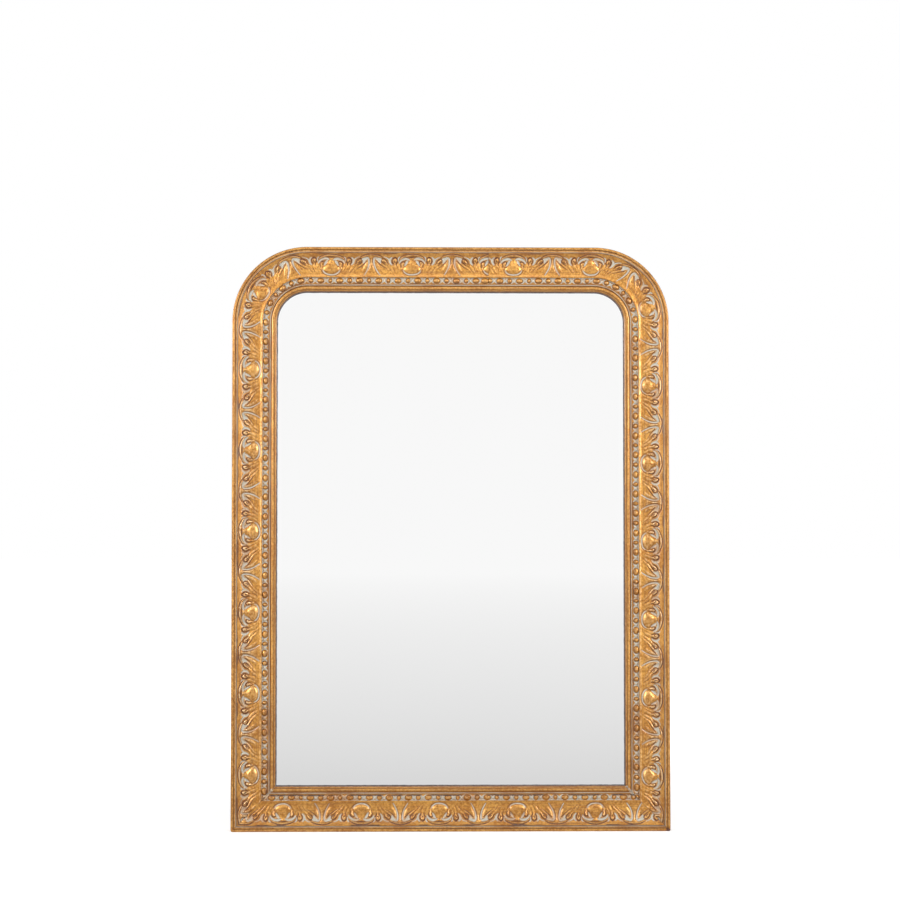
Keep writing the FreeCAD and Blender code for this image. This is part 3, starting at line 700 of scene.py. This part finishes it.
frieze_bed = np.array([(10.3, 36.4), (16, 34.3), (22, 31.8), (28, 30.2), (36, 29.4), (44, 29.2), (47.5, 29.4),
                       (50, 30.0), (51.6, 30.4), (52.5, 30.0)])
bed_places = np.linspace(frieze_start, frieze_end, 400)
bed_weights = np.hanning(21) / np.hanning(21).sum()
bed_heights = np.pad(np.interp(bed_places, *frieze_bed.T), 10, mode="edge")
bed_heights = np.convolve(bed_heights, bed_weights, mode="valid")


def unevenness(along, inward, pitch, seed):
    """Slow, repeatable irregularity of hand work, about -1 to 1."""
    turn = along / pitch + 2.3 * seed
    slow = np.sin(0.61 * turn - 0.11 * inward + seed)
    return (np.sin(turn + 0.07 * inward) + np.sin(2.17 * turn + 1.3 * seed) + slow) / 3


def frieze_shape(start, repeat, seed, shadow_share):
    """Shape and masks of a frieze strip whose first cartouche is at a start, in mm, with that repeat."""
    def shape_at(along, inward):
        shifted = along + 0.8 * unevenness(along, inward, 11, seed)
        folded = np.abs((shifted - start + repeat / 2) % repeat - repeat / 2) * drawn_repeat / repeat
        lifted = inward + 0.5 * unevenness(along, inward, 9, seed + 2)
        relief, wash, bole_and_shade, painted_highlight = [
            from_drawing(sheet, folded, lifted) for sheet in (drawn_relief, drawn_wash, drawn_shade, drawn_highlight)
        ]
        # Crisp on the stiles, fading round the bend and where the painted shadow is strong: deeper relief and
        # stronger painted highlights there.
        past_bend = stile_length / mm + 60
        crisp = rise(along, past_bend, -90) * np.clip(1.2 - 1.3 * shadow_share, 0, 1)
        depth = 0.85 + 0.45 * crisp + 0.16 * unevenness(along, inward, 41, seed + 1)
        height = np.interp(inward, bed_places, bed_heights) + ground_thickness + relief * depth
        # Painted shadow in broken patches along the groove under the frieze's outer edge.
        shadow_patches = np.clip(2.5 * unevenness(along, 0, 14, seed + 4) - 0.2, 0, 1)
        painted_shadow = ridge(inward, outer_corner, 0.8) * shadow_patches
        # Painted shade over the frieze's outer part, outside the wash.
        outer_painted_shade = 0.2 * rise(inward, 21, -6) * (1 - wash)
        # Painted highlights on the raised forms, and a painted highlight along the inner crest on the stiles.
        painted_highlight = np.maximum(painted_highlight * (0.4 + 1.6 * crisp), 0.7 * crisp * ridge(inward, inner_crest, 1.1))
        return height, wash, np.maximum.reduce([bole_and_shade, painted_shadow, outer_painted_shade]), painted_highlight, shadow_share * painted_shadow
    return shape_at


gilt_ornament, tree, shader = new_material("gilt_ornament")
run = written(tree, "run", "Vector")
# Masks of the strips: wash, bole with painted shade, painted highlight and painted shadow.
wash, bole_and_shade, painted_highlight, painted_shadow = [written(tree, name, "Fac") for name in ("wash", "bole_and_shade", "painted_highlight", "painted_shadow")]
gilded(shader, run, wash, bole_and_shade, painted_highlight, painted_shadow, streaks=0.4, depth=0.4 * mm)

for name, run, steps, start, repeat, seed, shadow_share in (
    ("left_frieze", "left", (1600, 60), 97.4, 140.8, 1, 0.3),
    ("right_frieze", "right", (1440, 60), 94.2, 136.0, 2, 0.3),
    ("bottom_frieze", "bottom", (880, 60), 90.0, 135.5, 3, 0.9),
):
    shape = frieze_shape(start, repeat, seed, shadow_share)
    pressed_sheet(name, steps, frieze_start, frieze_end, frieze_line, run, shape)


# Bead and reel strips: the same pressed composition, in the channel between the frieze and the ridge.
# A long bead, a reel, a round bead and a reel follow each other; the wash stays round the reels and the feet.
# Where the left strip meets the right one in the top, the joint is covered by one bead formed by hand.
bead_line = 58.6 * mm
bead_start, bead_end = 52.5, 64.7
bead_middle = 57.7
bead_repeat = 34.0
bead_ground = 26.7
bead_height, reel_height = 3.9, 1.5
long_half, long_side = 5.9, 4.6
round_half, round_side = 3.7, 4.4
hand_half, hand_side = 6.6, 5.2
reel_half, reel_side = 2.4, 4.8
reel_from_bead = 9.6


def bead_shape(start, seed, shadow_share, shadow_place, hand_formed=None):
    """Shape and masks of a bead strip whose first long bead is at a start, in mm.

    Its painted shadow lies at a place beside the beads' middle line, and one bead may be formed by hand.
    """
    def shape_at(along, inward):
        number = np.floor((along - start) / bead_repeat + 0.5)
        place = (along - start) - number * bead_repeat + 0.5 * np.sin(number * 2.4 + seed)
        sideways = inward - bead_middle + 0.25 * np.sin(number * 1.9 + seed)
        swell = 1 + 0.05 * np.sin(number * 1.7 + seed)
        long_bead = np.abs(place / long_half) ** 2.4 + np.abs(sideways / long_side) ** 2.2
        round_bead = ((np.abs(place) - bead_repeat / 2) / round_half) ** 2 + (sideways / round_side) ** 2
        foot = np.sqrt(np.minimum(long_bead, round_bead)) / swell
        if hand_formed is not None:
            foot = np.minimum(foot, np.hypot((along - hand_formed) / hand_half, (sideways - 0.6) / hand_side))
        bead = bead_height * np.sqrt(rounded(foot, 1))
        reel_place = np.abs(np.abs(place) - reel_from_bead)
        reel = reel_height * rounded(reel_place, reel_half) * rounded(sideways, reel_side)
        height = bead_ground + np.maximum(bead, reel) + 1.8 * rise(-sideways, 4.0, 1.2)
        tie = rise(np.abs(sideways), 2.3 + 0.7 * reel_place, -0.8)
        glass_side = rise(sideways, 4.6, 0.8)
        frieze_side = rise(-sideways, 3.5, 0.5)
        clear = rise(foot, 1.06, 0.1) * (1 - glass_side)
        # Painted shade: a dark ring at each bead's foot, lighter on the frieze side.
        outline = (0.7 - 0.4 * rise(-sideways, 0, 3)) * ridge(foot, 0.98, 0.12)
        # Painted shadow in patches beside the beads, towards the glass.
        shadow_patches = np.clip(2.2 * unevenness(along, 0, 12, seed + 3) + shadow_share, 0, 1)
        painted_shadow = ridge(sideways, shadow_place, 0.7 + 0.5 * shadow_share) * shadow_patches
        # Painted shade: the beads darker on their halves towards the glass, and the ground outside the wash darker.
        bead_shade = 0.12 + 0.5 * rise(sideways, 0, 3.5)
        shaded = np.where(foot < 1, bead_shade, 0.3 * clear * (1 - tie) * (1 - frieze_side))
        # A dark band at the glass side is painted shade too.
        bole_and_shade = np.maximum.reduce([outline, shaded, 0.45 * glass_side, painted_shadow])
        # Pale wash round the reels and beside the frieze; beside the frieze it also lightens the channel where the
        # frieze shades it, painted light.
        wash = clear * np.maximum(tie, frieze_side) * (1 - painted_shadow)
        # Painted highlight on the beads' tops.
        painted_highlight = 0.5 * rise(foot, 0.5, -0.4)
        return height, wash, bole_and_shade, painted_highlight, np.minimum(shadow_share, 0.9) * painted_shadow
    return shape_at


for name, run, steps, start, seed, shadow_share, shadow_place, hand_formed in (
    ("left_bead_strip", "left", (2300, 30), 69.0, 1, 0.4, 5.0, strip_length(bead_line, "left") - 6),
    ("right_bead_strip", "right", (2080, 30), 75.0, 2, 0.2, 4.7, None),
    ("bottom_bead_strip", "bottom", (1180, 30), 70.0, 3, 1.1, 4.0, None),
):
    shape = bead_shape(start, seed, shadow_share, shadow_place, hand_formed)
    pressed_sheet(name, steps, bead_start, bead_end, bead_line, run, shape)


# Mirror glass: a sheet of float glass, silvered and painted at the back, cut to the frame's arched outline.
# It lies in the rebate on the felt. Its silver is dark along the edge, where the lip of the rebate meets it: partly
# darkened silver, partly painted shadow of the lip.
mirror_silver, tree, shader = new_material("mirror_silver")
place = object_place(tree)
x, _, z = xyz(place)
sight_side = 304 * mm
sight_head = 431 * mm
sight_radius = corner_radius - 77 * mm
from_middle = arithmetic("ABSOLUTE", x)
past_side = arithmetic("SUBTRACT", from_middle, sight_side - sight_radius)
past_head = arithmetic("SUBTRACT", z, sight_head - sight_radius)
corner_reach = straight_distance(arithmetic("MAXIMUM", past_side, 0), arithmetic("MAXIMUM", past_head, 0))
from_edge = arithmetic("SUBTRACT", sight_radius, corner_reach)
from_foot = arithmetic("ADD", z, sight_head)
from_side = arithmetic("SUBTRACT", sight_side, from_middle)
margin = arithmetic("MINIMUM", arithmetic("MINIMUM", from_edge, from_foot), from_side)
ragged = arithmetic("ADD", margin, band(mottle(place, 90, 2), 0, 1, -0.6 * mm, 0.6 * mm))
silver = blended(mottle(place, 7, 2), (0.958, 0.958, 0.957, 1), (0.966, 0.966, 0.965, 1))
# Painted shadow of the rebate lip, with darkened silver, in a ragged band along the sight edge.
silver = blended(band(ragged, 0.2 * mm, 1.4 * mm, 1, 0), silver, (0.045, 0.05, 0.06, 1))
feed_shader(shader, base_color=silver, roughness=0.012, metallic=1.0)
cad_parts["mirror_glass"].data.materials[0] = mirror_silver


# Felt tape in the rebate, between its lip and the glass: black pressed wool, a millimetre thick.
# It is glued to the lip, so that the glass doesn't grate on the wood.
felt, tree, shader = new_material("black_felt")
fibres = mottle(object_place(tree), 1800, 3)
wool = blended(fibres, (0.012, 0.012, 0.014, 1), (0.05, 0.05, 0.055, 1))
feed_shader(shader, fibres, 0.4 * mm, base_color=wool, roughness=0.95)
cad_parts["rebate_felt"].data.materials[0] = felt


# Rubber setting pads under the glass, and rubber bumpers that keep the frame off the wall.
# Moulded black rubber; the bumpers are turned, slightly tapered, and stuck to the back.
black_rubber, tree, shader = new_material("black_rubber")
skin = mottle(object_place(tree), 900, 3)
rubber = blended(skin, (0.014, 0.014, 0.015, 1), (0.045, 0.044, 0.043, 1))
feed_shader(shader, skin, 0.2 * mm, base_color=rubber, roughness=band(skin, 0.3, 0.7, 0.55, 0.8))
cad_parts["glass_pads"].data.materials[0] = black_rubber
bumper_inward = 34 * mm
bumper_reach = (corner_radius - bumper_inward) * math.sqrt(0.5)
bm = bmesh.new()
for x, z in (
    (half_width - bumper_inward, bumper_inward - half_height),
    (bumper_inward - half_width, bumper_inward - half_height),
    (bumper_reach - corner_x, corner_z + bumper_reach),
    (corner_x - bumper_reach, corner_z + bumper_reach),
):
    place = Matrix.Translation((x, back / 2, z)) @ Matrix.Rotation(-math.pi / 2, 4, "X")
    cone = bmesh.ops.create_cone(
        bm, cap_ends=True, segments=40, radius1=6.9 * mm, radius2=5.9 * mm, depth=8 * mm, matrix=place
    )
    wall_end = {v for v in cone["verts"] if v.co.y > back / 2}
    rim = list({e for v in wall_end for e in v.link_edges if e.other_vert(v) in wall_end})
    bmesh.ops.bevel(bm, geom=rim, offset=0.9 * mm, segments=4, profile=0.5, affect="EDGES", material=-1)
finished(bm, "turned_wall_bumpers", [black_rubber], "frame", ["wall_bumpers"], 40)


# Card cushion behind the glass and the fibre board that closes the back.
# Corrugated card cut to the glass; pressed brown fibre board with a smooth, slightly mottled face.
card, tree, shader = new_material("corrugated_card")
pulp = mottle(object_place(tree), 350, 4)
paper = blended(pulp, (0.40, 0.27, 0.15, 1), (0.55, 0.40, 0.24, 1))
feed_shader(shader, pulp, 0.3 * mm, base_color=paper, roughness=0.9)
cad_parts["cushion_sheet"].data.materials[0] = card

fibre_board, tree, shader = new_material("fibre_board")
place = object_place(tree)
clouds = mottle(place, 9, 3)
fibres = mottle(place, 420, 5, (1, 0.4, 1))
flecks = band(mottle(place, 800, 2), 0.62, 0.72)
tone = weighted((clouds, 0.5), (fibres, 0.5))
brown = blended(band(tone, 0.35, 0.65), (0.20, 0.115, 0.055, 1), (0.32, 0.20, 0.105, 1))
brown = blended(product(flecks, 0.5), brown, (0.10, 0.055, 0.028, 1))
feed_shader(shader, fibres, 0.2 * mm, base_color=brown, roughness=band(fibres, 0.3, 0.7, 0.5, 0.7))
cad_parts["backing_board"].data.materials[0] = fibre_board


# Loose tenons inside the joints: short lengths of beech with square edges.
# They are glued into pockets in the ends of the wooden lengths, and hidden there.
beech, tree, shader = new_material("bare_beech")
place = object_place(tree)
bare_timber(shader, place, (0.62, 0.43, 0.25, 1), (0.48, 0.30, 0.15, 1), depth=0.2 * mm, roughness=0.65)
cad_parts["loose_tenons"].data.materials[0] = beech


# Turn buttons: flat steel drops on a screw, stamped, zinc plated, with an edge softened by tumbling.
# They turn in over the board to hold it, and out to let it go.
zinc_plate, tree, shader = new_material("zinc_plate")
place = object_place(tree)
spangle = new_node(tree, "ShaderNodeTexVoronoi", {"Vector": place, "Scale": 420}).outputs["Color"]
scratches = mottle(place, 1, 2, (300, 300, 2600))
dulling = mottle(place, 160, 4)
tone = weighted((spangle, 0.3), (dulling, 0.7))
steel = blended(band(tone, 0.3, 0.7), (0.50, 0.50, 0.48, 1), (0.70, 0.70, 0.69, 1))
steel = blended(band(dulling, 0.6, 0.72, 0, 0.6), steel, (0.34, 0.30, 0.24, 1))
polish = band(dulling, 0.3, 0.7, 0.28, 0.5)
feed_shader(shader, scratches, 0.05 * mm, base_color=steel, metallic=1.0, roughness=polish)
button_inward = 57 * mm
button_height = 254 * mm
button_places = {
    "left_upper": (button_inward - half_width, button_height, 0),
    "left_lower": (button_inward - half_width, -button_height, 0),
    "right_upper": (half_width - button_inward, button_height, 180),
    "right_lower": (half_width - button_inward, -button_height, 180),
    "top": (0, half_height - button_inward, 90),
    "bottom": (0, button_inward - half_height, -90),
}
button_face = back + 0.1 * mm
button_thickness = 1.5 * mm
for name, (x, z, turn) in button_places.items():
    bm = bmesh.new()
    for radius, reach in ((6.5 * mm, 0), (5.0 * mm, 19 * mm)):
        for level in (0, button_thickness):
            circle = Matrix.Translation((reach, level, 0)) @ Matrix.Rotation(math.pi / 2, 4, "X")
            bmesh.ops.create_circle(bm, segments=48, radius=radius, matrix=circle)
    hull = bmesh.ops.convex_hull(bm, input=bm.verts)
    bmesh.ops.delete(bm, geom=only(BMVert, hull["geom_interior"]), context="VERTS")
    bmesh.ops.dissolve_limit(bm, angle_limit=0.01, verts=bm.verts, edges=bm.edges)
    outer = [e for e in bm.edges if abs((e.verts[0].co - e.verts[1].co).y) < 0.0001]
    bmesh.ops.bevel(bm, geom=outer, offset=0.35 * mm, segments=3, profile=0.5, affect="EDGES", material=-1)
    bmesh.ops.rotate(bm, verts=bm.verts, cent=(0, 0, 0), matrix=Matrix.Rotation(math.radians(turn), 3, "Y"))
    bmesh.ops.translate(bm, verts=bm.verts, vec=(x, button_face, z))
    node = "turn_button_" + name
    finished(bm, "stamped_" + node, [zinc_plate], node, [node], 35)


# Screws of the turn buttons and hangers: round-headed steel wood screws with a straight slot, zinc plated.
# One holds each button and two hold each hanger strap, driven into the wood from behind.
def slotted_screw(bm, x, z, seat, turn):
    """A screw driven in from behind: a domed head with a slot, and a tapering shank in the wood."""
    slot_half = 0.4 * mm
    slot_floor = 0.7 * mm
    start = len(bm.verts)

    def screw_verts():
        bm.verts.ensure_lookup_table()
        return bm.verts[start:]

    dome = curve((3.4, 0.25), (2.7, 1.35), (0.0, 1.6), 7)
    profile = [(0.0, -14.0), (0.7, -12.0), (1.7, -9.0), (1.72, 0.0), (3.3, 0.0)] + dome
    line = [bm.verts.new((radius * mm, level * mm, 0)) for radius, level in profile]
    edges = [bm.edges.new(pair) for pair in zip(line, line[1:])]
    bmesh.ops.spin(
        bm, geom=line + edges, cent=(0, 0, 0), axis=(0, 1, 0), angle=2 * math.pi, steps=36, use_merge=True
    )
    bmesh.ops.remove_doubles(bm, verts=screw_verts(), dist=0.000001)
    for side in (-1, 1):
        faces = list({f for v in screw_verts() for f in v.link_faces if v.co.y > 0})
        edges = list({e for f in faces for e in f.edges})
        verts = list({v for f in faces for v in f.verts})
        bmesh.ops.bisect_plane(bm, geom=verts + edges + faces, plane_co=(side * slot_half, 0, 0), plane_no=(1, 0, 0))
    slot = {f for v in screw_verts() for f in v.link_faces}
    slot = [f for f in slot if abs(f.calc_center_median().x) < slot_half and f.calc_center_median().y > 0.3 * mm]
    sunk = bmesh.ops.extrude_face_region(bm, geom=slot)["geom"]
    bmesh.ops.delete(bm, geom=[f for f in slot if f.is_valid], context="FACES_ONLY")
    for vertex in only(BMVert, sunk):
        vertex.co.y = min(vertex.co.y, slot_floor)
    bmesh.ops.rotate(bm, verts=screw_verts(), cent=(0, 0, 0), matrix=Matrix.Rotation(turn, 3, "Y"))
    bmesh.ops.translate(bm, verts=screw_verts(), vec=(x, back + seat, z))


bm = bmesh.new()
button_seat = 1.7 * mm
for number, (x, z, _) in enumerate(button_places.values()):
    slotted_screw(bm, x, z, button_seat, 0.9 + 1.7 * number)
finished(bm, "slotted_turn_button_screws", [zinc_plate], "frame", ["turn_button_screws"], 35)
hanger_x = half_width - 34 * mm
hanger_z = half_height - 300 * mm
strap_thickness = 1.5 * mm
bm = bmesh.new()
for number, (side, drop) in enumerate(((-1, 12), (-1, 32), (1, 12), (1, 32))):
    slotted_screw(bm, side * hanger_x, hanger_z - drop * mm, strap_thickness, 0.4 + 1.3 * number)
finished(bm, "slotted_hanger_screws", [zinc_plate], "frame", ["hanger_screws"], 35)


# Hanger straps: strips of zinc plated steel, screwed to the back of the stile.
# The upper end of each is rolled into an eye for its ring, and the lower corners are rounded.
strap_width = 16 * mm
strap_length = 38 * mm
eye_bore = 3 * mm * math.sqrt(0.5) + 0.15 * mm
eye_axis = back + eye_bore + strap_thickness
for name, side in (("left", -1), ("right", 1)):
    bm = bmesh.new()
    corners = [bm.verts.new((0, back + level, hanger_z - strap_length)) for level in (0, strap_thickness)]
    plate = bmesh.ops.extrude_edge_only(bm, edges=[bm.edges.new(corners)])["geom"]
    bmesh.ops.translate(bm, verts=only(BMVert, plate), vec=(0, 0, strap_length))
    top = only(BMEdge, plate)[:1]
    bmesh.ops.spin(
        bm, geom=top, cent=(0, eye_axis, hanger_z), axis=(1, 0, 0), angle=math.radians(305), steps=44
    )
    drawn_out(bm, bm.faces[:], (strap_width, 0, 0))
    bmesh.ops.translate(bm, verts=bm.verts, vec=(side * hanger_x - strap_width / 2, 0, 0))
    bmesh.ops.remove_doubles(bm, verts=bm.verts, dist=0.00001)
    foot = [e for e in bm.edges if all(v.co.z < hanger_z - strap_length + mm for v in e.verts)]
    foot = [e for e in foot if abs(e.verts[0].co.y - e.verts[1].co.y) > mm]
    bmesh.ops.bevel(bm, geom=foot, offset=5 * mm, segments=6, profile=0.5, affect="EDGES", material=-1)
    node = name + "_hanger_strap"
    finished(bm, "rolled_" + node, [zinc_plate], "frame", [node], 35)


# D rings: round steel wire bent and welded, the straight foot lying in the strap's eye.
# Each swings in its eye and takes the wall hook.
wire = 1.5 * mm
ring_half = 10.5 * mm
ring_leg = 11 * mm
ring_bend = 2.0 * mm
ring_foot = ring_half - ring_bend
ring_lean = math.asin((eye_axis - back - wire - 0.3 * mm) / (ring_leg + 12 * mm))


def straight_wire(bm, edges, path):
    """Wire drawn out straight from its end, and its new end."""
    drawn = bmesh.ops.extrude_edge_only(bm, edges=edges)["geom"]
    end = set(only(BMVert, drawn))
    bmesh.ops.translate(bm, verts=list(end), vec=path)
    return [e for e in only(BMEdge, drawn) if all(v in end for v in e.verts)]


def bent_wire(bm, edges, centre, angle, steps):
    """Wire bent round a centre from its end, and its new end."""
    turn = bmesh.ops.spin(bm, geom=edges, cent=centre, axis=(0, -1, 0), angle=angle, steps=steps)["geom_last"]
    return only(BMEdge, turn)


for name, side in (("left", -1), ("right", 1)):
    bm = bmesh.new()
    loop = bmesh.ops.create_circle(bm, segments=16, radius=wire, matrix=Matrix.Rotation(math.pi / 2, 4, "Y"))
    end = list({e for v in loop["verts"] for e in v.link_edges})
    end = straight_wire(bm, end, (ring_foot, 0, 0))
    end = bent_wire(bm, end, (ring_foot, 0, ring_bend), math.pi / 2, 6)
    end = straight_wire(bm, end, (0, 0, ring_leg - ring_bend))
    end = bent_wire(bm, end, (0, 0, ring_leg), math.pi, 28)
    end = straight_wire(bm, end, (0, 0, ring_bend - ring_leg))
    end = bent_wire(bm, end, (-ring_foot, 0, ring_bend), math.pi / 2, 6)
    straight_wire(bm, end, (ring_foot, 0, 0))
    bmesh.ops.rotate(bm, verts=bm.verts, cent=(0, 0, 0), matrix=Matrix.Rotation(ring_lean, 3, "X"))
    bmesh.ops.translate(bm, verts=bm.verts, vec=(side * hanger_x, eye_axis, hanger_z))
    node = name + "_hanger_ring"
    finished(bm, "wire_" + node, [zinc_plate], node, [node], 60)


# Studio: a pale floor at the frame's foot, a white room, soft lamps on each side, above and behind.
# The floor looks white to the camera and keeps the frame's shadow; the mirror sees it glow, with painted shade that
# darkens it towards the frame.
floor_mesh = bpy.data.meshes.new("studio_floor")
bm = bmesh.new()
bmesh.ops.create_grid(bm, x_segments=1, y_segments=1, size=60, matrix=Matrix.Translation((0, 0, -half_height)))
bm.to_mesh(floor_mesh)
bm.free()
studio_floor = in_scene("studio_floor", floor_mesh)
floor_paint = bpy.data.materials.new("floor_paint")
floor_paint.use_nodes = True
tree = floor_paint.node_tree
tree.nodes.clear()
white = (1, 1, 1, 1)
place = object_place(tree)
# Painted shade seen in the mirror: the floor's glow for glossy rays darkens towards the frame.
ahead = arithmetic("MAXIMUM", arithmetic("MULTIPLY", xyz(place)[1], -1), 0.2)
sweep = band(arithmetic("LOGARITHM", ahead, 10), -0.06, 1.5, 0.715, 0.975)
reach = new_node(tree, "ShaderNodeVectorMath", {0: place}, operation="LENGTH").outputs["Value"]
ray = new_node(tree, "ShaderNodeLightPath").outputs
matte = new_node(tree, "ShaderNodeBsdfDiffuse", {"Color": (0.8, 0.8, 0.8, 1)})
glow = new_node(tree, "ShaderNodeEmission", {"Color": white, "Strength": band(reach, 0.7, 2.2, 0.42, 1.0)})
lit = new_node(tree, "ShaderNodeAddShader", {0: matte.outputs[0], 1: glow.outputs[0]})
seen = new_node(tree, "ShaderNodeEmission", {"Color": white, "Strength": sweep})
plain = new_node(tree, "ShaderNodeMixShader", {0: ray["Is Camera Ray"], 1: matte.outputs[0], 2: lit.outputs[0]})
mirrored = new_node(tree, "ShaderNodeMixShader", {0: ray["Is Glossy Ray"], 1: plain.outputs[0], 2: seen.outputs[0]})
new_node(tree, "ShaderNodeOutputMaterial", {"Surface": mirrored.outputs[0]})
floor_mesh.materials.append(floor_paint)

studio = bpy.data.worlds.new("white_studio")
bpy.context.scene.world = studio
studio.use_nodes = True
tree = studio.node_tree
tree.nodes.clear()
towards = new_node(tree, "ShaderNodeTexCoord").outputs["Generated"]
forward = arithmetic("MULTIPLY", xyz(towards)[1], -1)
room = band(forward, 0.86, 0.97, 0.30, 0.975)
ray = new_node(tree, "ShaderNodeLightPath").outputs
seen_white = arithmetic("MAXIMUM", ray["Is Camera Ray"], ray["Is Transmission Ray"])
light = arithmetic("MAXIMUM", seen_white, room)
sky = new_node(tree, "ShaderNodeBackground", {"Color": white, "Strength": light})
new_node(tree, "ShaderNodeOutputWorld", {"Surface": sky.outputs[0]})

for name, place, size, power in (
    ("left_softbox", (-2.2, -1.9, 0.9), (0.8, 1.2), 50),
    ("right_softbox", (2.2, -1.9, 0.9), (0.8, 1.2), 50),
    ("overhead_softbox", (0.0, -2.2, 1.9), (1.6, 0.6), 13),
    ("rear_softbox", (0.0, 2.6, 1.0), (3.0, 2.4), 38),
):
    lamp = bpy.data.lights.new(name, "AREA")
    lamp.shape = "RECTANGLE"
    lamp.size, lamp.size_y = size
    lamp.energy = power
    holder = in_scene(name, lamp)
    holder.location = place
    holder.rotation_euler = (Vector((0, 0, 0)) - Vector(place)).to_track_quat("-Z", "Y").to_euler()

lens = bpy.data.cameras.new("photo_camera")
lens.lens = 90.85
lens.sensor_width = 36
lens.clip_end = 200
camera = in_scene("photo_camera", lens)
camera.location = (-0.0775, -4.0, -0.007)
camera.rotation_euler = (math.radians(90 + 2.318), 0, math.radians(-1.10))
bpy.context.scene.camera = camera
bpy.context.scene.view_settings.view_transform = "Standard"
